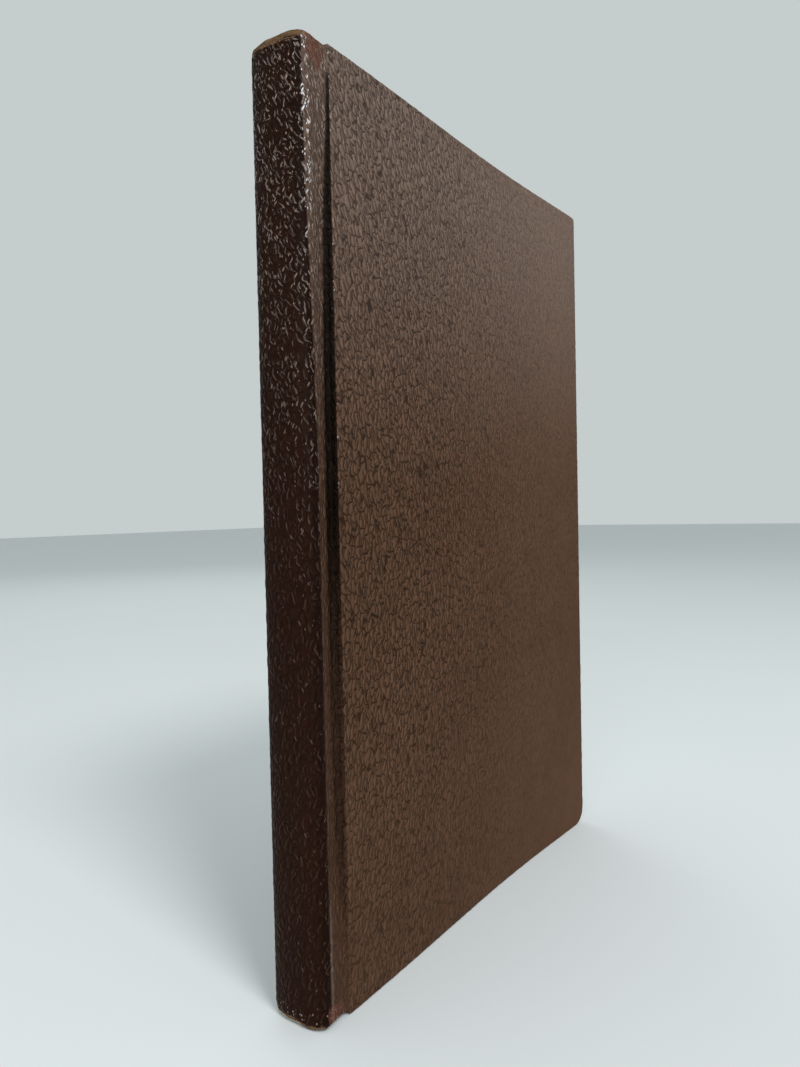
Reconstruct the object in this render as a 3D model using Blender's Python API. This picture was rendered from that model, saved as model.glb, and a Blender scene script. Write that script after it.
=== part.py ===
"""Case-bound prayer book, closed and standing on its tail.

Row frame, in metres: +Z runs up the spine from tail to head, +X runs from the spine to the
fore-edge, and the front cover faces -Y. The origin is the centre of the footprint at the tail.

A sewn text block of folded sections hangs between two endpapers in a separate case: two
boards and a spine card wrapped in grained leathercloth, with a pressed groove at each joint.
Each cover hinges on its shoulder. Behind it the flyleaf hinges on the spine, and each section
hinges on the fold of the leaf or section outside it, so that the leaves fan out.
"""

import math

import bmesh
import bpy
from mathutils import Matrix, Vector

# ---------------------------------------------------------------- text block
PAGE_HEIGHT = 0.184
PAGE_WIDTH = 0.1207
SECTION_COUNT = 8
SECTION_THICKNESS = 0.0008
FLYLEAF_THICKNESS = 0.0002
LEAF_GAP = 0.000075

# ---------------------------------------------------------------- case
SQUARE = 0.003
BOARD_THICKNESS = 0.0019
LEATHER_THICKNESS = 0.0004
PASTEDOWN_THICKNESS = 0.0002
PASTEDOWN_MARGIN = 0.0035
TURN_IN = 0.014
JOINT_WIDTH = 0.0057
GROOVE_DEPTH = 0.0017
HEAD_CORNER_RADIUS = 0.0012
TAIL_CORNER_RADIUS = 0.005
EDGE_ROUNDING = 0.0004
GLUE_LINE = 0.00008
COVER_CLEARANCE = 0.00012
HINGE_GAP = 0.0001
HINGE_STANDOFF = 0.00015

# ---------------------------------------------------------------- spine
SPINE_ARCH = 0.0026
SPINE_ARCH_EXPONENT = 2.3
INLAY_THICKNESS = 0.0006
INLAY_EDGE_MARGIN = 0.0018
INLAY_END_CLEARANCE = 0.0001
HOLLOW = 0.00042
LINING_THICKNESS = 0.0003
LINING_END_MARGIN = 0.003
MULL_THICKNESS = 0.0003
MULL_END_MARGIN = 0.009
BACKING_EDGE_MARGIN = 0.0002
THREAD_DIAMETER = 0.0004
KETTLE_STITCH_INSET = 0.010
FOLD_CLEARANCE = 0.0001
HEADBAND_BEAD_RADIUS = 0.00055
HEADBAND_TAPE_THICKNESS = 0.0003
HEADBAND_TAPE_LENGTH = 0.007

# ---------------------------------------------------------------- facets
ARC_STEPS = 6
SPINE_STEPS = 20
GROOVE_STEPS = 6
BEAD_SIDES = 16
PAST_FACE = 0.002

# ---------------------------------------------------------------- sizes that follow
BOOK_HEIGHT = PAGE_HEIGHT + 2 * SQUARE
SECTION_PITCH = SECTION_THICKNESS + LEAF_GAP
SECTIONS_THICKNESS = SECTION_COUNT * SECTION_PITCH - LEAF_GAP
TEXT_HALF = SECTIONS_THICKNESS / 2 + LEAF_GAP + FLYLEAF_THICKNESS

# Depths are measured inwards from a cover's outer face.
BOARD_TOP = LEATHER_THICKNESS + GLUE_LINE
BOARD_BOTTOM = BOARD_TOP + BOARD_THICKNESS
TURN_IN_TOP = BOARD_BOTTOM + GLUE_LINE
TURN_IN_BOTTOM = TURN_IN_TOP + LEATHER_THICKNESS
PASTEDOWN_TOP = TURN_IN_BOTTOM + GLUE_LINE
COVER_DEPTH = PASTEDOWN_TOP + PASTEDOWN_THICKNESS
COVER_HALF = TEXT_HALF + COVER_CLEARANCE + COVER_DEPTH

# Stations along X, from the crown of the spine to the fore-edge.
SPINE_FLAP_TOP = LEATHER_THICKNESS + INLAY_THICKNESS + 2 * GLUE_LINE
SPINE_FLAP_BOTTOM = SPINE_FLAP_TOP + LEATHER_THICKNESS
LINING_BACK = SPINE_FLAP_BOTTOM + HOLLOW
MULL_BACK = LINING_BACK + LINING_THICKNESS + GLUE_LINE
THREAD_BACK = MULL_BACK + MULL_THICKNESS + GLUE_LINE
FOLD_DEPTH = THREAD_BACK + THREAD_DIAMETER + FOLD_CLEARANCE
BOOK_WIDTH = FOLD_DEPTH + PAGE_WIDTH + SQUARE
CROWN_X = -BOOK_WIDTH / 2
FORE_EDGE_X = BOOK_WIDTH / 2
FOLD_X = CROWN_X + FOLD_DEPTH
PAGE_EDGE_X = FOLD_X + PAGE_WIDTH
RIDGE_X = CROWN_X + SPINE_ARCH
BOARD_EDGE_X = RIDGE_X + JOINT_WIDTH
TEXT_TAIL_Z = SQUARE
TEXT_HEAD_Z = SQUARE + PAGE_HEIGHT


# ---------------------------------------------------------------- scene and materials
def clear_scene():
    for obj in list(bpy.data.objects):
        bpy.data.objects.remove(obj, do_unlink=True)


def new_collection(name):
    collection = bpy.data.collections.new(name)
    bpy.context.scene.collection.children.link(collection)
    return collection


def material(name, color, roughness, metallic=0.0):
    made = bpy.data.materials.new(name)
    made.use_nodes = True
    shader = made.node_tree.nodes["Principled BSDF"]
    shader.inputs["Base Color"].default_value = (*color, 1.0)
    shader.inputs["Roughness"].default_value = roughness
    shader.inputs["Metallic"].default_value = metallic
    return made


# ---------------------------------------------------------------- shapes
def arc(center, radius, start_deg, end_deg, steps=ARC_STEPS):
    """Points along a circular arc, both ends included."""
    found = []
    for i in range(steps + 1):
        angle = math.radians(start_deg + (end_deg - start_deg) * i / steps)
        found.append((center[0] + radius * math.cos(angle), center[1] + radius * math.sin(angle)))
    return found


def prism(name, outline, low, high, plane="XY"):
    """A mesh solid: the outline extruded from low to high across its plane, which is XY or XZ."""
    flat = bpy.data.curves.new(name, "CURVE")
    flat.dimensions = "2D"
    flat.fill_mode = "BOTH"
    flat.extrude = (high - low) / 2
    line = flat.splines.new("POLY")
    line.points.add(len(outline) - 1)
    for point, (u, v) in zip(line.points, outline):
        point.co = (u, v, 0.0, 1.0)
    line.use_cyclic_u = True
    sketch = bpy.data.objects.new(name + "_sketch", flat)
    bpy.context.scene.collection.objects.link(sketch)
    bpy.context.view_layer.update()
    graph = bpy.context.evaluated_depsgraph_get()
    mesh = bpy.data.meshes.new_from_object(sketch.evaluated_get(graph))
    bpy.data.objects.remove(sketch, do_unlink=True)
    if plane == "XY":
        mesh.transform(Matrix.Translation((0, 0, (low + high) / 2)))
    else:
        mesh.transform(Matrix.Rotation(math.radians(90), 4, "X"))
        mesh.transform(Matrix.Translation((0, (low + high) / 2, 0)))
    return tidy_mesh(name, mesh)


def tidy_mesh(name, mesh):
    """Welds the mesh's caps, turns its faces outwards and returns it as a new object."""
    shape = bmesh.new()
    shape.from_mesh(mesh)
    bmesh.ops.remove_doubles(shape, verts=shape.verts, dist=1e-7)
    bmesh.ops.recalc_face_normals(shape, faces=shape.faces)
    shape.to_mesh(mesh)
    shape.free()
    mesh.name = name
    obj = bpy.data.objects.new(name, mesh)
    bpy.context.scene.collection.objects.link(obj)
    return obj


def combine(target, other, operation):
    """Applies a Boolean between two mesh objects and removes the second."""
    modifier = target.modifiers.new(operation.title(), "BOOLEAN")
    modifier.operation = operation
    modifier.solver = "EXACT"
    modifier.object = other
    bpy.context.view_layer.update()
    graph = bpy.context.evaluated_depsgraph_get()
    made = bpy.data.meshes.new_from_object(target.evaluated_get(graph))
    target.modifiers.clear()
    target.data = made
    bpy.data.objects.remove(other, do_unlink=True)
    return target


def board_outline(left, right, bottom, top, inset=0.0):
    """A board's outline in X and Z: square at the joint, rounded at the two fore-edge corners."""
    tail_radius = max(TAIL_CORNER_RADIUS - inset, EDGE_ROUNDING)
    head_radius = max(HEAD_CORNER_RADIUS - inset, EDGE_ROUNDING)
    tail = arc((right - tail_radius, bottom + tail_radius), tail_radius, -90, 0)
    head = arc((right - head_radius, top - head_radius), head_radius, 0, 90)
    return [(left, bottom)] + tail + head + [(left, top)]


def leaf_outline(center_y, thickness):
    """A leaf's or a section's cross-section in X and Y, with a round fold at the spine."""
    radius = thickness / 2
    fold = arc((FOLD_X + radius, center_y), radius, 90, 270)
    return fold + [(PAGE_EDGE_X, center_y - radius), (PAGE_EDGE_X, center_y + radius)]


def spine_point(share, offset=0.0):
    """A point on the spine's arched outer face, moved inwards by offset.

    share runs from -1 at the front shoulder, through 0 at the crown, to 1 at the back shoulder.
    """
    angle = share * math.pi / 2
    power = 2 / SPINE_ARCH_EXPONENT
    rise = SPINE_ARCH * math.cos(angle) ** power if abs(share) < 1 else 0.0
    y = math.copysign(COVER_HALF * abs(math.sin(angle)) ** power, share)
    normal = Vector(
        (
            -((rise / SPINE_ARCH) ** (SPINE_ARCH_EXPONENT - 1)) / SPINE_ARCH,
            math.copysign((abs(y) / COVER_HALF) ** (SPINE_ARCH_EXPONENT - 1), y) / COVER_HALF,
        )
    ).normalized()
    return (RIDGE_X - rise - normal.x * offset, y - normal.y * offset)


def spine_shares(half_width):
    """The stations along the arch that lie within half_width of its crown."""
    stations = [i / SPINE_STEPS for i in range(-SPINE_STEPS, SPINE_STEPS + 1)]
    return [share for share in stations if abs(spine_point(share)[1]) <= half_width + 1e-9]


def spine_band(name, outer, inner, low, high):
    """A solid along the spine between two lines, each a list of stations and depths."""
    outline = [spine_point(share, depth) for share, depth in outer]
    outline += [spine_point(share, depth) for share, depth in reversed(inner)]
    return prism(name, outline, low, high)


# ---------------------------------------------------------------- bodies and nodes
def pivot(name, x, y, parent=None):
    """An empty on a joint's axis at the tail, which carries the pieces that turn about it."""
    empty = bpy.data.objects.new(name, None)
    empty.empty_display_size = 0.01
    bpy.context.scene.collection.objects.link(empty)
    empty.location = (x, y, 0)
    if parent is not None:
        empty.parent = parent
        empty.location = Vector((x, y, 0)) - world_place(parent)
    return empty


def world_place(empty):
    """Where an empty stands in the row frame."""
    place = Vector((0, 0, 0))
    while empty is not None:
        place += empty.location
        empty = empty.parent
    return place


def add_node(obj, collection, finish, carrier=None):
    """Files the object under its collection, gives it its material and hangs it on its pivot."""
    for home in list(obj.users_collection):
        home.objects.unlink(obj)
    collection.objects.link(obj)
    obj.data.materials.clear()
    obj.data.materials.append(finish)
    if carrier is not None:
        obj.data.transform(Matrix.Translation(-world_place(carrier)))
        obj.parent = carrier
    return obj


# ---------------------------------------------------------------- covers
def groove_depth(share):
    """How deep the joint's outer face lies, from 0 at the shoulder to 1 at the board's edge."""
    return GROOVE_DEPTH * math.sin(share * math.pi / 2) ** 1.5


def cover_profile(side):
    """A cover's cross-section in X and Y: the joint's strip of leathercloth, then the wrapped board."""
    floor_end = BOARD_EDGE_X - LEATHER_THICKNESS
    start = RIDGE_X + HINGE_GAP
    shares = [i / GROOVE_STEPS for i in range(GROOVE_STEPS + 1)]
    floor = [(start + (floor_end - start) * s, groove_depth(s)) for s in shares]
    outer = floor + [
        (BOARD_EDGE_X, GROOVE_DEPTH - EDGE_ROUNDING),
        (BOARD_EDGE_X, EDGE_ROUNDING),
        (BOARD_EDGE_X + EDGE_ROUNDING, 0.0),
        (FORE_EDGE_X - EDGE_ROUNDING, 0.0),
        (FORE_EDGE_X, EDGE_ROUNDING),
        (FORE_EDGE_X, TURN_IN_BOTTOM - EDGE_ROUNDING),
        (FORE_EDGE_X - EDGE_ROUNDING, TURN_IN_BOTTOM),
    ]
    turn_in_start = BOARD_EDGE_X + 3 * LEATHER_THICKNESS
    inner = [
        (turn_in_start, TURN_IN_BOTTOM),
        (turn_in_start, GROOVE_DEPTH + LEATHER_THICKNESS),
    ]
    inner += [(x, depth + LEATHER_THICKNESS) for x, depth in reversed(floor)]
    return [(x, side * (COVER_HALF - depth)) for x, depth in outer + inner]


def depth_range(side, shallow, deep):
    """The two Y values, lowest first, of a layer between two depths under a cover's face."""
    return sorted((side * (COVER_HALF - shallow), side * (COVER_HALF - deep)))


def cover_leather(name, side):
    """The leathercloth of one cover, turned in round the head, tail and fore-edge of the board."""
    skin = prism(name, cover_profile(side), 0, BOOK_HEIGHT)
    outline = board_outline(RIDGE_X - PAST_FACE, FORE_EDGE_X, 0, BOOK_HEIGHT)
    low, high = depth_range(side, -PAST_FACE, COVER_DEPTH + PAST_FACE)
    skin = combine(skin, prism("outline_tool", outline, low, high, "XZ"), "INTERSECT")
    pocket = board_outline(
        BOARD_EDGE_X + LEATHER_THICKNESS,
        FORE_EDGE_X - LEATHER_THICKNESS,
        LEATHER_THICKNESS,
        BOOK_HEIGHT - LEATHER_THICKNESS,
        LEATHER_THICKNESS,
    )
    low, high = depth_range(side, LEATHER_THICKNESS, TURN_IN_TOP)
    skin = combine(skin, prism("pocket_tool", pocket, low, high, "XZ"), "DIFFERENCE")
    window = window_outline(0.0, BOARD_EDGE_X + LEATHER_THICKNESS)
    low, high = depth_range(side, TURN_IN_TOP - GLUE_LINE, COVER_DEPTH + PAST_FACE)
    return combine(skin, prism("window_tool", window, low, high, "XZ"), "DIFFERENCE")


def window_outline(inset, left):
    """The space between the turn-ins, in X and Z, made smaller by inset."""
    right = FORE_EDGE_X - TURN_IN - inset
    bottom = TURN_IN + inset
    top = BOOK_HEIGHT - TURN_IN - inset
    return [(left, bottom), (right, bottom), (right, top), (left, top)]


def cover_board(name, side):
    """The greyboard inside one cover."""
    inset = LEATHER_THICKNESS + GLUE_LINE
    outline = board_outline(
        BOARD_EDGE_X + inset, FORE_EDGE_X - inset, inset, BOOK_HEIGHT - inset, inset
    )
    low, high = depth_range(side, BOARD_TOP, BOARD_BOTTOM)
    return prism(name, outline, low, high, "XZ")


def pastedown(name, side):
    """The endpaper half pasted to the board: a sheet over the turn-ins, padded level between them."""
    left = RIDGE_X + HINGE_GAP + JOINT_WIDTH / 6
    right = FORE_EDGE_X - PASTEDOWN_MARGIN
    bottom = PASTEDOWN_MARGIN
    top = BOOK_HEIGHT - PASTEDOWN_MARGIN
    sheet = [(left, bottom), (right, bottom), (right, top), (left, top)]
    low, high = depth_range(side, PASTEDOWN_TOP, COVER_DEPTH)
    paper = prism(name, sheet, low, high, "XZ")
    pad = window_outline(GLUE_LINE, BOARD_EDGE_X + LEATHER_THICKNESS + GLUE_LINE)
    low, high = depth_range(side, TURN_IN_TOP, COVER_DEPTH - PASTEDOWN_THICKNESS / 2)
    return combine(paper, prism("pad_tool", pad, low, high, "XZ"), "UNION")


# ---------------------------------------------------------------- spine
def spine_leather(name):
    """The leathercloth over the spine, turned in over both ends of the spine card."""
    every = spine_shares(COVER_HALF)
    flap = spine_shares(COVER_HALF - INLAY_EDGE_MARGIN)
    past = every[every.index(flap[-1]) + 1]
    outer = [(share, 0.0) for share in every]
    inner = [(share, SPINE_FLAP_BOTTOM if share in flap else LEATHER_THICKNESS) for share in every]
    skin = spine_band(name, outer, inner, 0, BOOK_HEIGHT)

    beside = (past, LEATHER_THICKNESS + GLUE_LINE / 2)
    pocket = [(-beside[0], beside[1])] + [(share, LEATHER_THICKNESS) for share in flap] + [beside]
    floor = [(share, SPINE_FLAP_TOP) for share, _ in pocket]
    ends = (LEATHER_THICKNESS, BOOK_HEIGHT - LEATHER_THICKNESS)
    skin = combine(skin, spine_band("pocket_tool", pocket, floor, *ends), "DIFFERENCE")

    mouth = [(share, LEATHER_THICKNESS + INLAY_THICKNESS / 2) for share, _ in pocket]
    beyond = [(share, SPINE_FLAP_BOTTOM + GLUE_LINE) for share, _ in pocket]
    ends = (TURN_IN, BOOK_HEIGHT - TURN_IN)
    return combine(skin, spine_band("window_tool", mouth, beyond, *ends), "DIFFERENCE")


def spine_card(name):
    """The card that stiffens the spine, inside the leathercloth's turned-in ends."""
    top = LEATHER_THICKNESS + GLUE_LINE
    shares = spine_shares(COVER_HALF - INLAY_EDGE_MARGIN)
    outer = [(share, top) for share in shares]
    inner = [(share, top + INLAY_THICKNESS) for share in shares]
    margin = LEATHER_THICKNESS + INLAY_END_CLEARANCE
    return spine_band(name, outer, inner, margin, BOOK_HEIGHT - margin)


def sewing_thread(name):
    """One thread: a run down every fold, joined to the next by a kettle stitch at head and tail."""
    x = CROWN_X + THREAD_BACK + THREAD_DIAMETER / 2
    low = TEXT_TAIL_Z + KETTLE_STITCH_INSET
    high = TEXT_HEAD_Z - KETTLE_STITCH_INSET
    route = []
    for index in range(SECTION_COUNT):
        ends = (low, high) if index % 2 == 0 else (high, low)
        route += [(x, section_y(index), z) for z in ends]
    line = bpy.data.curves.new(name, "CURVE")
    line.dimensions = "3D"
    line.bevel_depth = THREAD_DIAMETER / 2
    line.bevel_resolution = 1
    line.use_fill_caps = True
    spline = line.splines.new("POLY")
    spline.points.add(len(route) - 1)
    for point, place in zip(spline.points, route):
        point.co = (*place, 1.0)
    sketch = bpy.data.objects.new(name + "_sketch", line)
    bpy.context.scene.collection.objects.link(sketch)
    bpy.context.view_layer.update()
    graph = bpy.context.evaluated_depsgraph_get()
    mesh = bpy.data.meshes.new_from_object(sketch.evaluated_get(graph))
    bpy.data.objects.remove(sketch, do_unlink=True)
    return tidy_mesh(name, mesh)


def headband(name, edge_z, outward):
    """A worked bead along the end of the text block's back, on a tape glued down over the folds."""
    tape_x = CROWN_X + THREAD_BACK
    tape_end = edge_z - outward * HEADBAND_TAPE_LENGTH
    bead_z = edge_z + outward * (LEAF_GAP + HEADBAND_BEAD_RADIUS)
    low, high = sorted((tape_end, bead_z))
    half = SECTIONS_THICKNESS / 2
    tape = [
        (tape_x, -half),
        (tape_x + HEADBAND_TAPE_THICKNESS, -half),
        (tape_x + HEADBAND_TAPE_THICKNESS, half),
        (tape_x, half),
    ]
    bpy.ops.mesh.primitive_cylinder_add(
        vertices=BEAD_SIDES, radius=HEADBAND_BEAD_RADIUS, depth=2 * half + 2 * LEAF_GAP
    )
    bead = bpy.context.object
    bead_x = tape_x + HEADBAND_TAPE_THICKNESS / 2 + HEADBAND_BEAD_RADIUS / 2
    bead.data.transform(Matrix.Rotation(math.radians(90), 4, "X"))
    bead.data.transform(Matrix.Translation((bead_x, 0, bead_z)))
    return combine(prism(name, tape, low, high), bead, "UNION")


def section_y(index):
    """The middle of a section across the book, section 0 lying next to the front cover."""
    return -SECTIONS_THICKNESS / 2 + SECTION_THICKNESS / 2 + index * SECTION_PITCH


def backing_strip(name, back_depth, thickness, half_width, end_margin):
    """A flat strip glued over the folds, from one depth behind the crown."""
    x = CROWN_X + back_depth
    outline = [
        (x, -half_width),
        (x + thickness, -half_width),
        (x + thickness, half_width),
        (x, half_width),
    ]
    return prism(name, outline, TEXT_TAIL_Z + end_margin, TEXT_HEAD_Z - end_margin)


def build_spine(book, paints):
    """The parts that stay with the spine: its cloth and card, and what is glued over the folds."""
    add_node(spine_leather("spine_leather"), book, paints["leathercloth"])
    add_node(spine_card("spine_inlay"), book, paints["card"])
    half = TEXT_HALF - BACKING_EDGE_MARGIN
    lining = backing_strip("back_lining", LINING_BACK, LINING_THICKNESS, half, LINING_END_MARGIN)
    add_node(lining, book, paints["kraft"])
    mull = backing_strip("mull", MULL_BACK, MULL_THICKNESS, half, MULL_END_MARGIN)
    add_node(mull, book, paints["gauze"])
    add_node(sewing_thread("sewing_thread"), book, paints["thread"])
    add_node(headband("headband", TEXT_HEAD_Z, 1), book, paints["headband"])
    add_node(headband("tailband", TEXT_TAIL_Z, -1), book, paints["headband"])


def build_cover(book, paints, word, side):
    """One cover and the leaves behind it. side is -1 for the front and 1 for the back."""
    hinge = pivot(
        f"{word}_cover_pivot",
        RIDGE_X + HINGE_GAP / 2,
        side * (COVER_HALF + HINGE_STANDOFF),
    )
    add_node(cover_leather(f"{word}_cover_leather", side), book, paints["leathercloth"], hinge)
    add_node(cover_board(f"{word}_board", side), book, paints["greyboard"], hinge)
    add_node(pastedown(f"{word}_pastedown", side), book, paints["endpaper"], hinge)

    leaf_y = side * (TEXT_HALF - FLYLEAF_THICKNESS / 2)
    carrier = pivot(f"{word}_flyleaf_pivot", FOLD_X + FLYLEAF_THICKNESS / 2, leaf_y)
    outline = leaf_outline(leaf_y, FLYLEAF_THICKNESS)
    flyleaf = prism(f"{word}_flyleaf", outline, TEXT_TAIL_Z, TEXT_HEAD_Z)
    add_node(flyleaf, book, paints["endpaper"], carrier)

    half = SECTION_COUNT // 2
    order = range(half) if side < 0 else range(SECTION_COUNT - 1, half - 1, -1)
    for index in order:
        label = f"section_{index + 1:02d}"
        y = section_y(index)
        carrier = pivot(label + "_pivot", FOLD_X + SECTION_THICKNESS / 2, y, carrier)
        outline = leaf_outline(y, SECTION_THICKNESS)
        section = prism(label, outline, TEXT_TAIL_Z, TEXT_HEAD_Z)
        add_node(section, book, paints["paper"], carrier)


def main():
    clear_scene()
    book = new_collection("prayer_book")
    paints = {
        "leathercloth": material("brown_leathercloth", (0.075, 0.040, 0.026), 0.45),
        "greyboard": material("greyboard", (0.36, 0.33, 0.28), 0.9),
        "card": material("spine_card", (0.52, 0.44, 0.32), 0.85),
        "endpaper": material("endpaper", (0.78, 0.70, 0.55), 0.8),
        "paper": material("page_paper", (0.82, 0.76, 0.62), 0.85),
        "kraft": material("kraft_lining", (0.45, 0.31, 0.18), 0.85),
        "gauze": material("mull_gauze", (0.80, 0.77, 0.68), 0.95),
        "thread": material("linen_thread", (0.85, 0.81, 0.70), 0.7),
        "headband": material("headband_cotton", (0.42, 0.08, 0.06), 0.7),
    }
    build_spine(book, paints)
    build_cover(book, paints, "front", -1)
    build_cover(book, paints, "back", 1)


main()
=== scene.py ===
"""Looks for the case-bound prayer book, laid out as an add-on and run as a script.

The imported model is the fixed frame. Row frame, in metres: +Z runs up the spine from tail to
head, +X runs from the spine to the fore-edge, and the front cover faces -Y. A cover is worked
out in X and W, where W is the distance from the book's middle plane towards that cover's
outside, so the front cover has Y = -W and the back cover Y = +W.
"""

import math

import bmesh
import bpy
import numpy as np
from bpy.props import FloatProperty, FloatVectorProperty, IntProperty, PointerProperty
from mathutils import Matrix, Vector


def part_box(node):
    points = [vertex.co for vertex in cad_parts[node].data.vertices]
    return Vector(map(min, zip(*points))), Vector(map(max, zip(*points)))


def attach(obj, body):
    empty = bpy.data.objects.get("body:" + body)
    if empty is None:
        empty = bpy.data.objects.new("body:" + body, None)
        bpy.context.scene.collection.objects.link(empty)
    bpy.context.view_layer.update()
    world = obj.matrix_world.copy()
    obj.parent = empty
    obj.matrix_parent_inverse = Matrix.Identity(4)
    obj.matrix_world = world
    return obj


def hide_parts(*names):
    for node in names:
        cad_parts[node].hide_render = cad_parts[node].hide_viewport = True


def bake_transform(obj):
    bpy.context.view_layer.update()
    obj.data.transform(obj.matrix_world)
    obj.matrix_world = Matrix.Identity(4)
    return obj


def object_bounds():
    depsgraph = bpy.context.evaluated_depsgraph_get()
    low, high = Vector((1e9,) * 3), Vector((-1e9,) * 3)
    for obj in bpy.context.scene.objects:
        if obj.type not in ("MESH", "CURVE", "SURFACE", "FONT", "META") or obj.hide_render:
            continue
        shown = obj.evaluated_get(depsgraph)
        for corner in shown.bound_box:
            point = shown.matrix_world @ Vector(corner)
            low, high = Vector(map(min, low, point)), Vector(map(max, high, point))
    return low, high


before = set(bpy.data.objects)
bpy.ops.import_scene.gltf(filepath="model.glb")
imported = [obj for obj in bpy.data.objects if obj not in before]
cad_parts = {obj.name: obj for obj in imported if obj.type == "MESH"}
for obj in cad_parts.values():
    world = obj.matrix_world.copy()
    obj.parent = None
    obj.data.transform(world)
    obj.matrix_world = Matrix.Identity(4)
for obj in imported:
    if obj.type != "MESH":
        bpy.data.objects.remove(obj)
CAD_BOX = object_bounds()

bl_info = {
    "name": "Prayer Book",
    "version": (1, 0, 0),
    "blender": (4, 5, 0),
    "location": "3D View > Sidebar > Prayer Book",
    "description": "Leathercloth, boards, leaves, spine linings and stage for a small prayer book",
    "category": "Object",
}

MM = 0.001
SHARP_ANGLE = math.radians(50)

# ---------------------------------------------------------------- sizes read from the frame
CLOTH = 0.4 * MM
GLUE = 0.08 * MM
CROWN_X = CAD_BOX[0].x
FORE_X = CAD_BOX[1].x
HALF = CAD_BOX[1].y
HEIGHT = CAD_BOX[1].z
RIDGE_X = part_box("spine_leather")[1].x
ARCH = RIDGE_X - CROWN_X
BOARD_EDGE_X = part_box("front_board")[0].x - CLOTH - GLUE
BOARD_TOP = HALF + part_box("front_board")[0].y
BOARD_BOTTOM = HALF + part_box("front_board")[1].y
PASTE_MARGIN = FORE_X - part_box("front_pastedown")[1].x
PASTE_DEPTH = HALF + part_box("front_pastedown")[1].y
FOLD_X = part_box("section_01")[0].x
PAGE_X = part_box("section_01")[1].x
TAIL_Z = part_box("section_01")[0].z
HEAD_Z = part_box("section_01")[1].z
TEXT_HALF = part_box("back_flyleaf")[1].y
FLYLEAF = TEXT_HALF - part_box("back_flyleaf")[0].y
SECTIONS = sorted(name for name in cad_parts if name.startswith("section_"))

# ---------------------------------------------------------------- case
ARCH_EXPONENT = 2.3
CARD = 0.6 * MM
CARD_HALF = HALF - 1.8 * MM
GROOVE = 1.7 * MM
GROOVE_AT_ENDS = 0.35 * MM
GROOVE_FADE = 38 * MM
CAP_REACH = 2.6 * MM
CAP_ROUND = 0.3 * MM
HINGE_GAP = 0.1 * MM
STEP_ROUND = 0.4 * MM
EDGE_ROUND = 0.5 * MM
HEAD_CORNER = 1.2 * MM
TAIL_CORNER = 5 * MM
TURN_IN = 14 * MM
DISH = 1.17 * MM
DISH_EDGE = 0.2 * MM
SEAM_SHARE = 0.93

# ---------------------------------------------------------------- paper
PINCH = 1.2 * MM
PINCH_REACH = 14 * MM
PASTEDOWN = 0.14 * MM
LEAF_STATIONS = 41
LEAF_ROWS = 22
FOLD_SHARE = 0.2

# ---------------------------------------------------------------- headband and tailband
TAPE = 0.26 * MM
BEAD = 1.1 * MM
WRAP_LEAN = 0.12

# ---------------------------------------------------------------- camera
CAMERA_PLACE = Vector((-175.27, -107.0, 99.9)) * MM
CAMERA_YAW = math.radians(35.39)
CAMERA_PITCH = math.radians(1.63)
CAMERA_ROLL = math.radians(-1.24)
SENSOR_WIDTH = 36.0
NEAR_CLIP = 0.005

# ---------------------------------------------------------------- lights: name, place and width
LIGHTS = (
    ("key", (-0.35, -0.75, 0.95), 0.4),
    ("side", (-0.9, -0.35, 0.35), 0.5),
    ("back", (0.55, 0.85, 0.75), 0.6),
)
FLOOR_HALF = 4.0
FLOOR_DROP = 0.1 * MM


# ---------------------------------------------------------------- nodes as expressions
def socket_of(sockets, key):
    """The socket with this index, enabled name or identifier."""
    if isinstance(key, int):
        return sockets[key]
    for socket in sockets:
        if socket.enabled and socket.name == key:
            return socket
    for socket in sockets:
        if socket.identifier == key:
            return socket
    raise KeyError(f"{key} isn't one of {[socket.name for socket in sockets]}")


class Wire:
    """An output socket. Arithmetic on it adds Math nodes to its tree."""

    def __init__(self, maker, socket):
        self.maker = maker
        self.socket = socket

    def math(self, operation, *others):
        return self.maker.add("ShaderNodeMath", {"operation": operation}, [self, *others])

    def __add__(self, other):
        return self.math("ADD", other)

    def __radd__(self, other):
        return self.math("ADD", other)

    def __sub__(self, other):
        return self.math("SUBTRACT", other)

    def __rsub__(self, other):
        return self.maker.add("ShaderNodeMath", {"operation": "SUBTRACT"}, [other, self])

    def __mul__(self, other):
        return self.math("MULTIPLY", other)

    def __rmul__(self, other):
        return self.math("MULTIPLY", other)

    def __truediv__(self, other):
        return self.math("DIVIDE", other)

    def __rtruediv__(self, other):
        return self.maker.add("ShaderNodeMath", {"operation": "DIVIDE"}, [other, self])

    def __pow__(self, other):
        return self.math("POWER", other)


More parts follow.
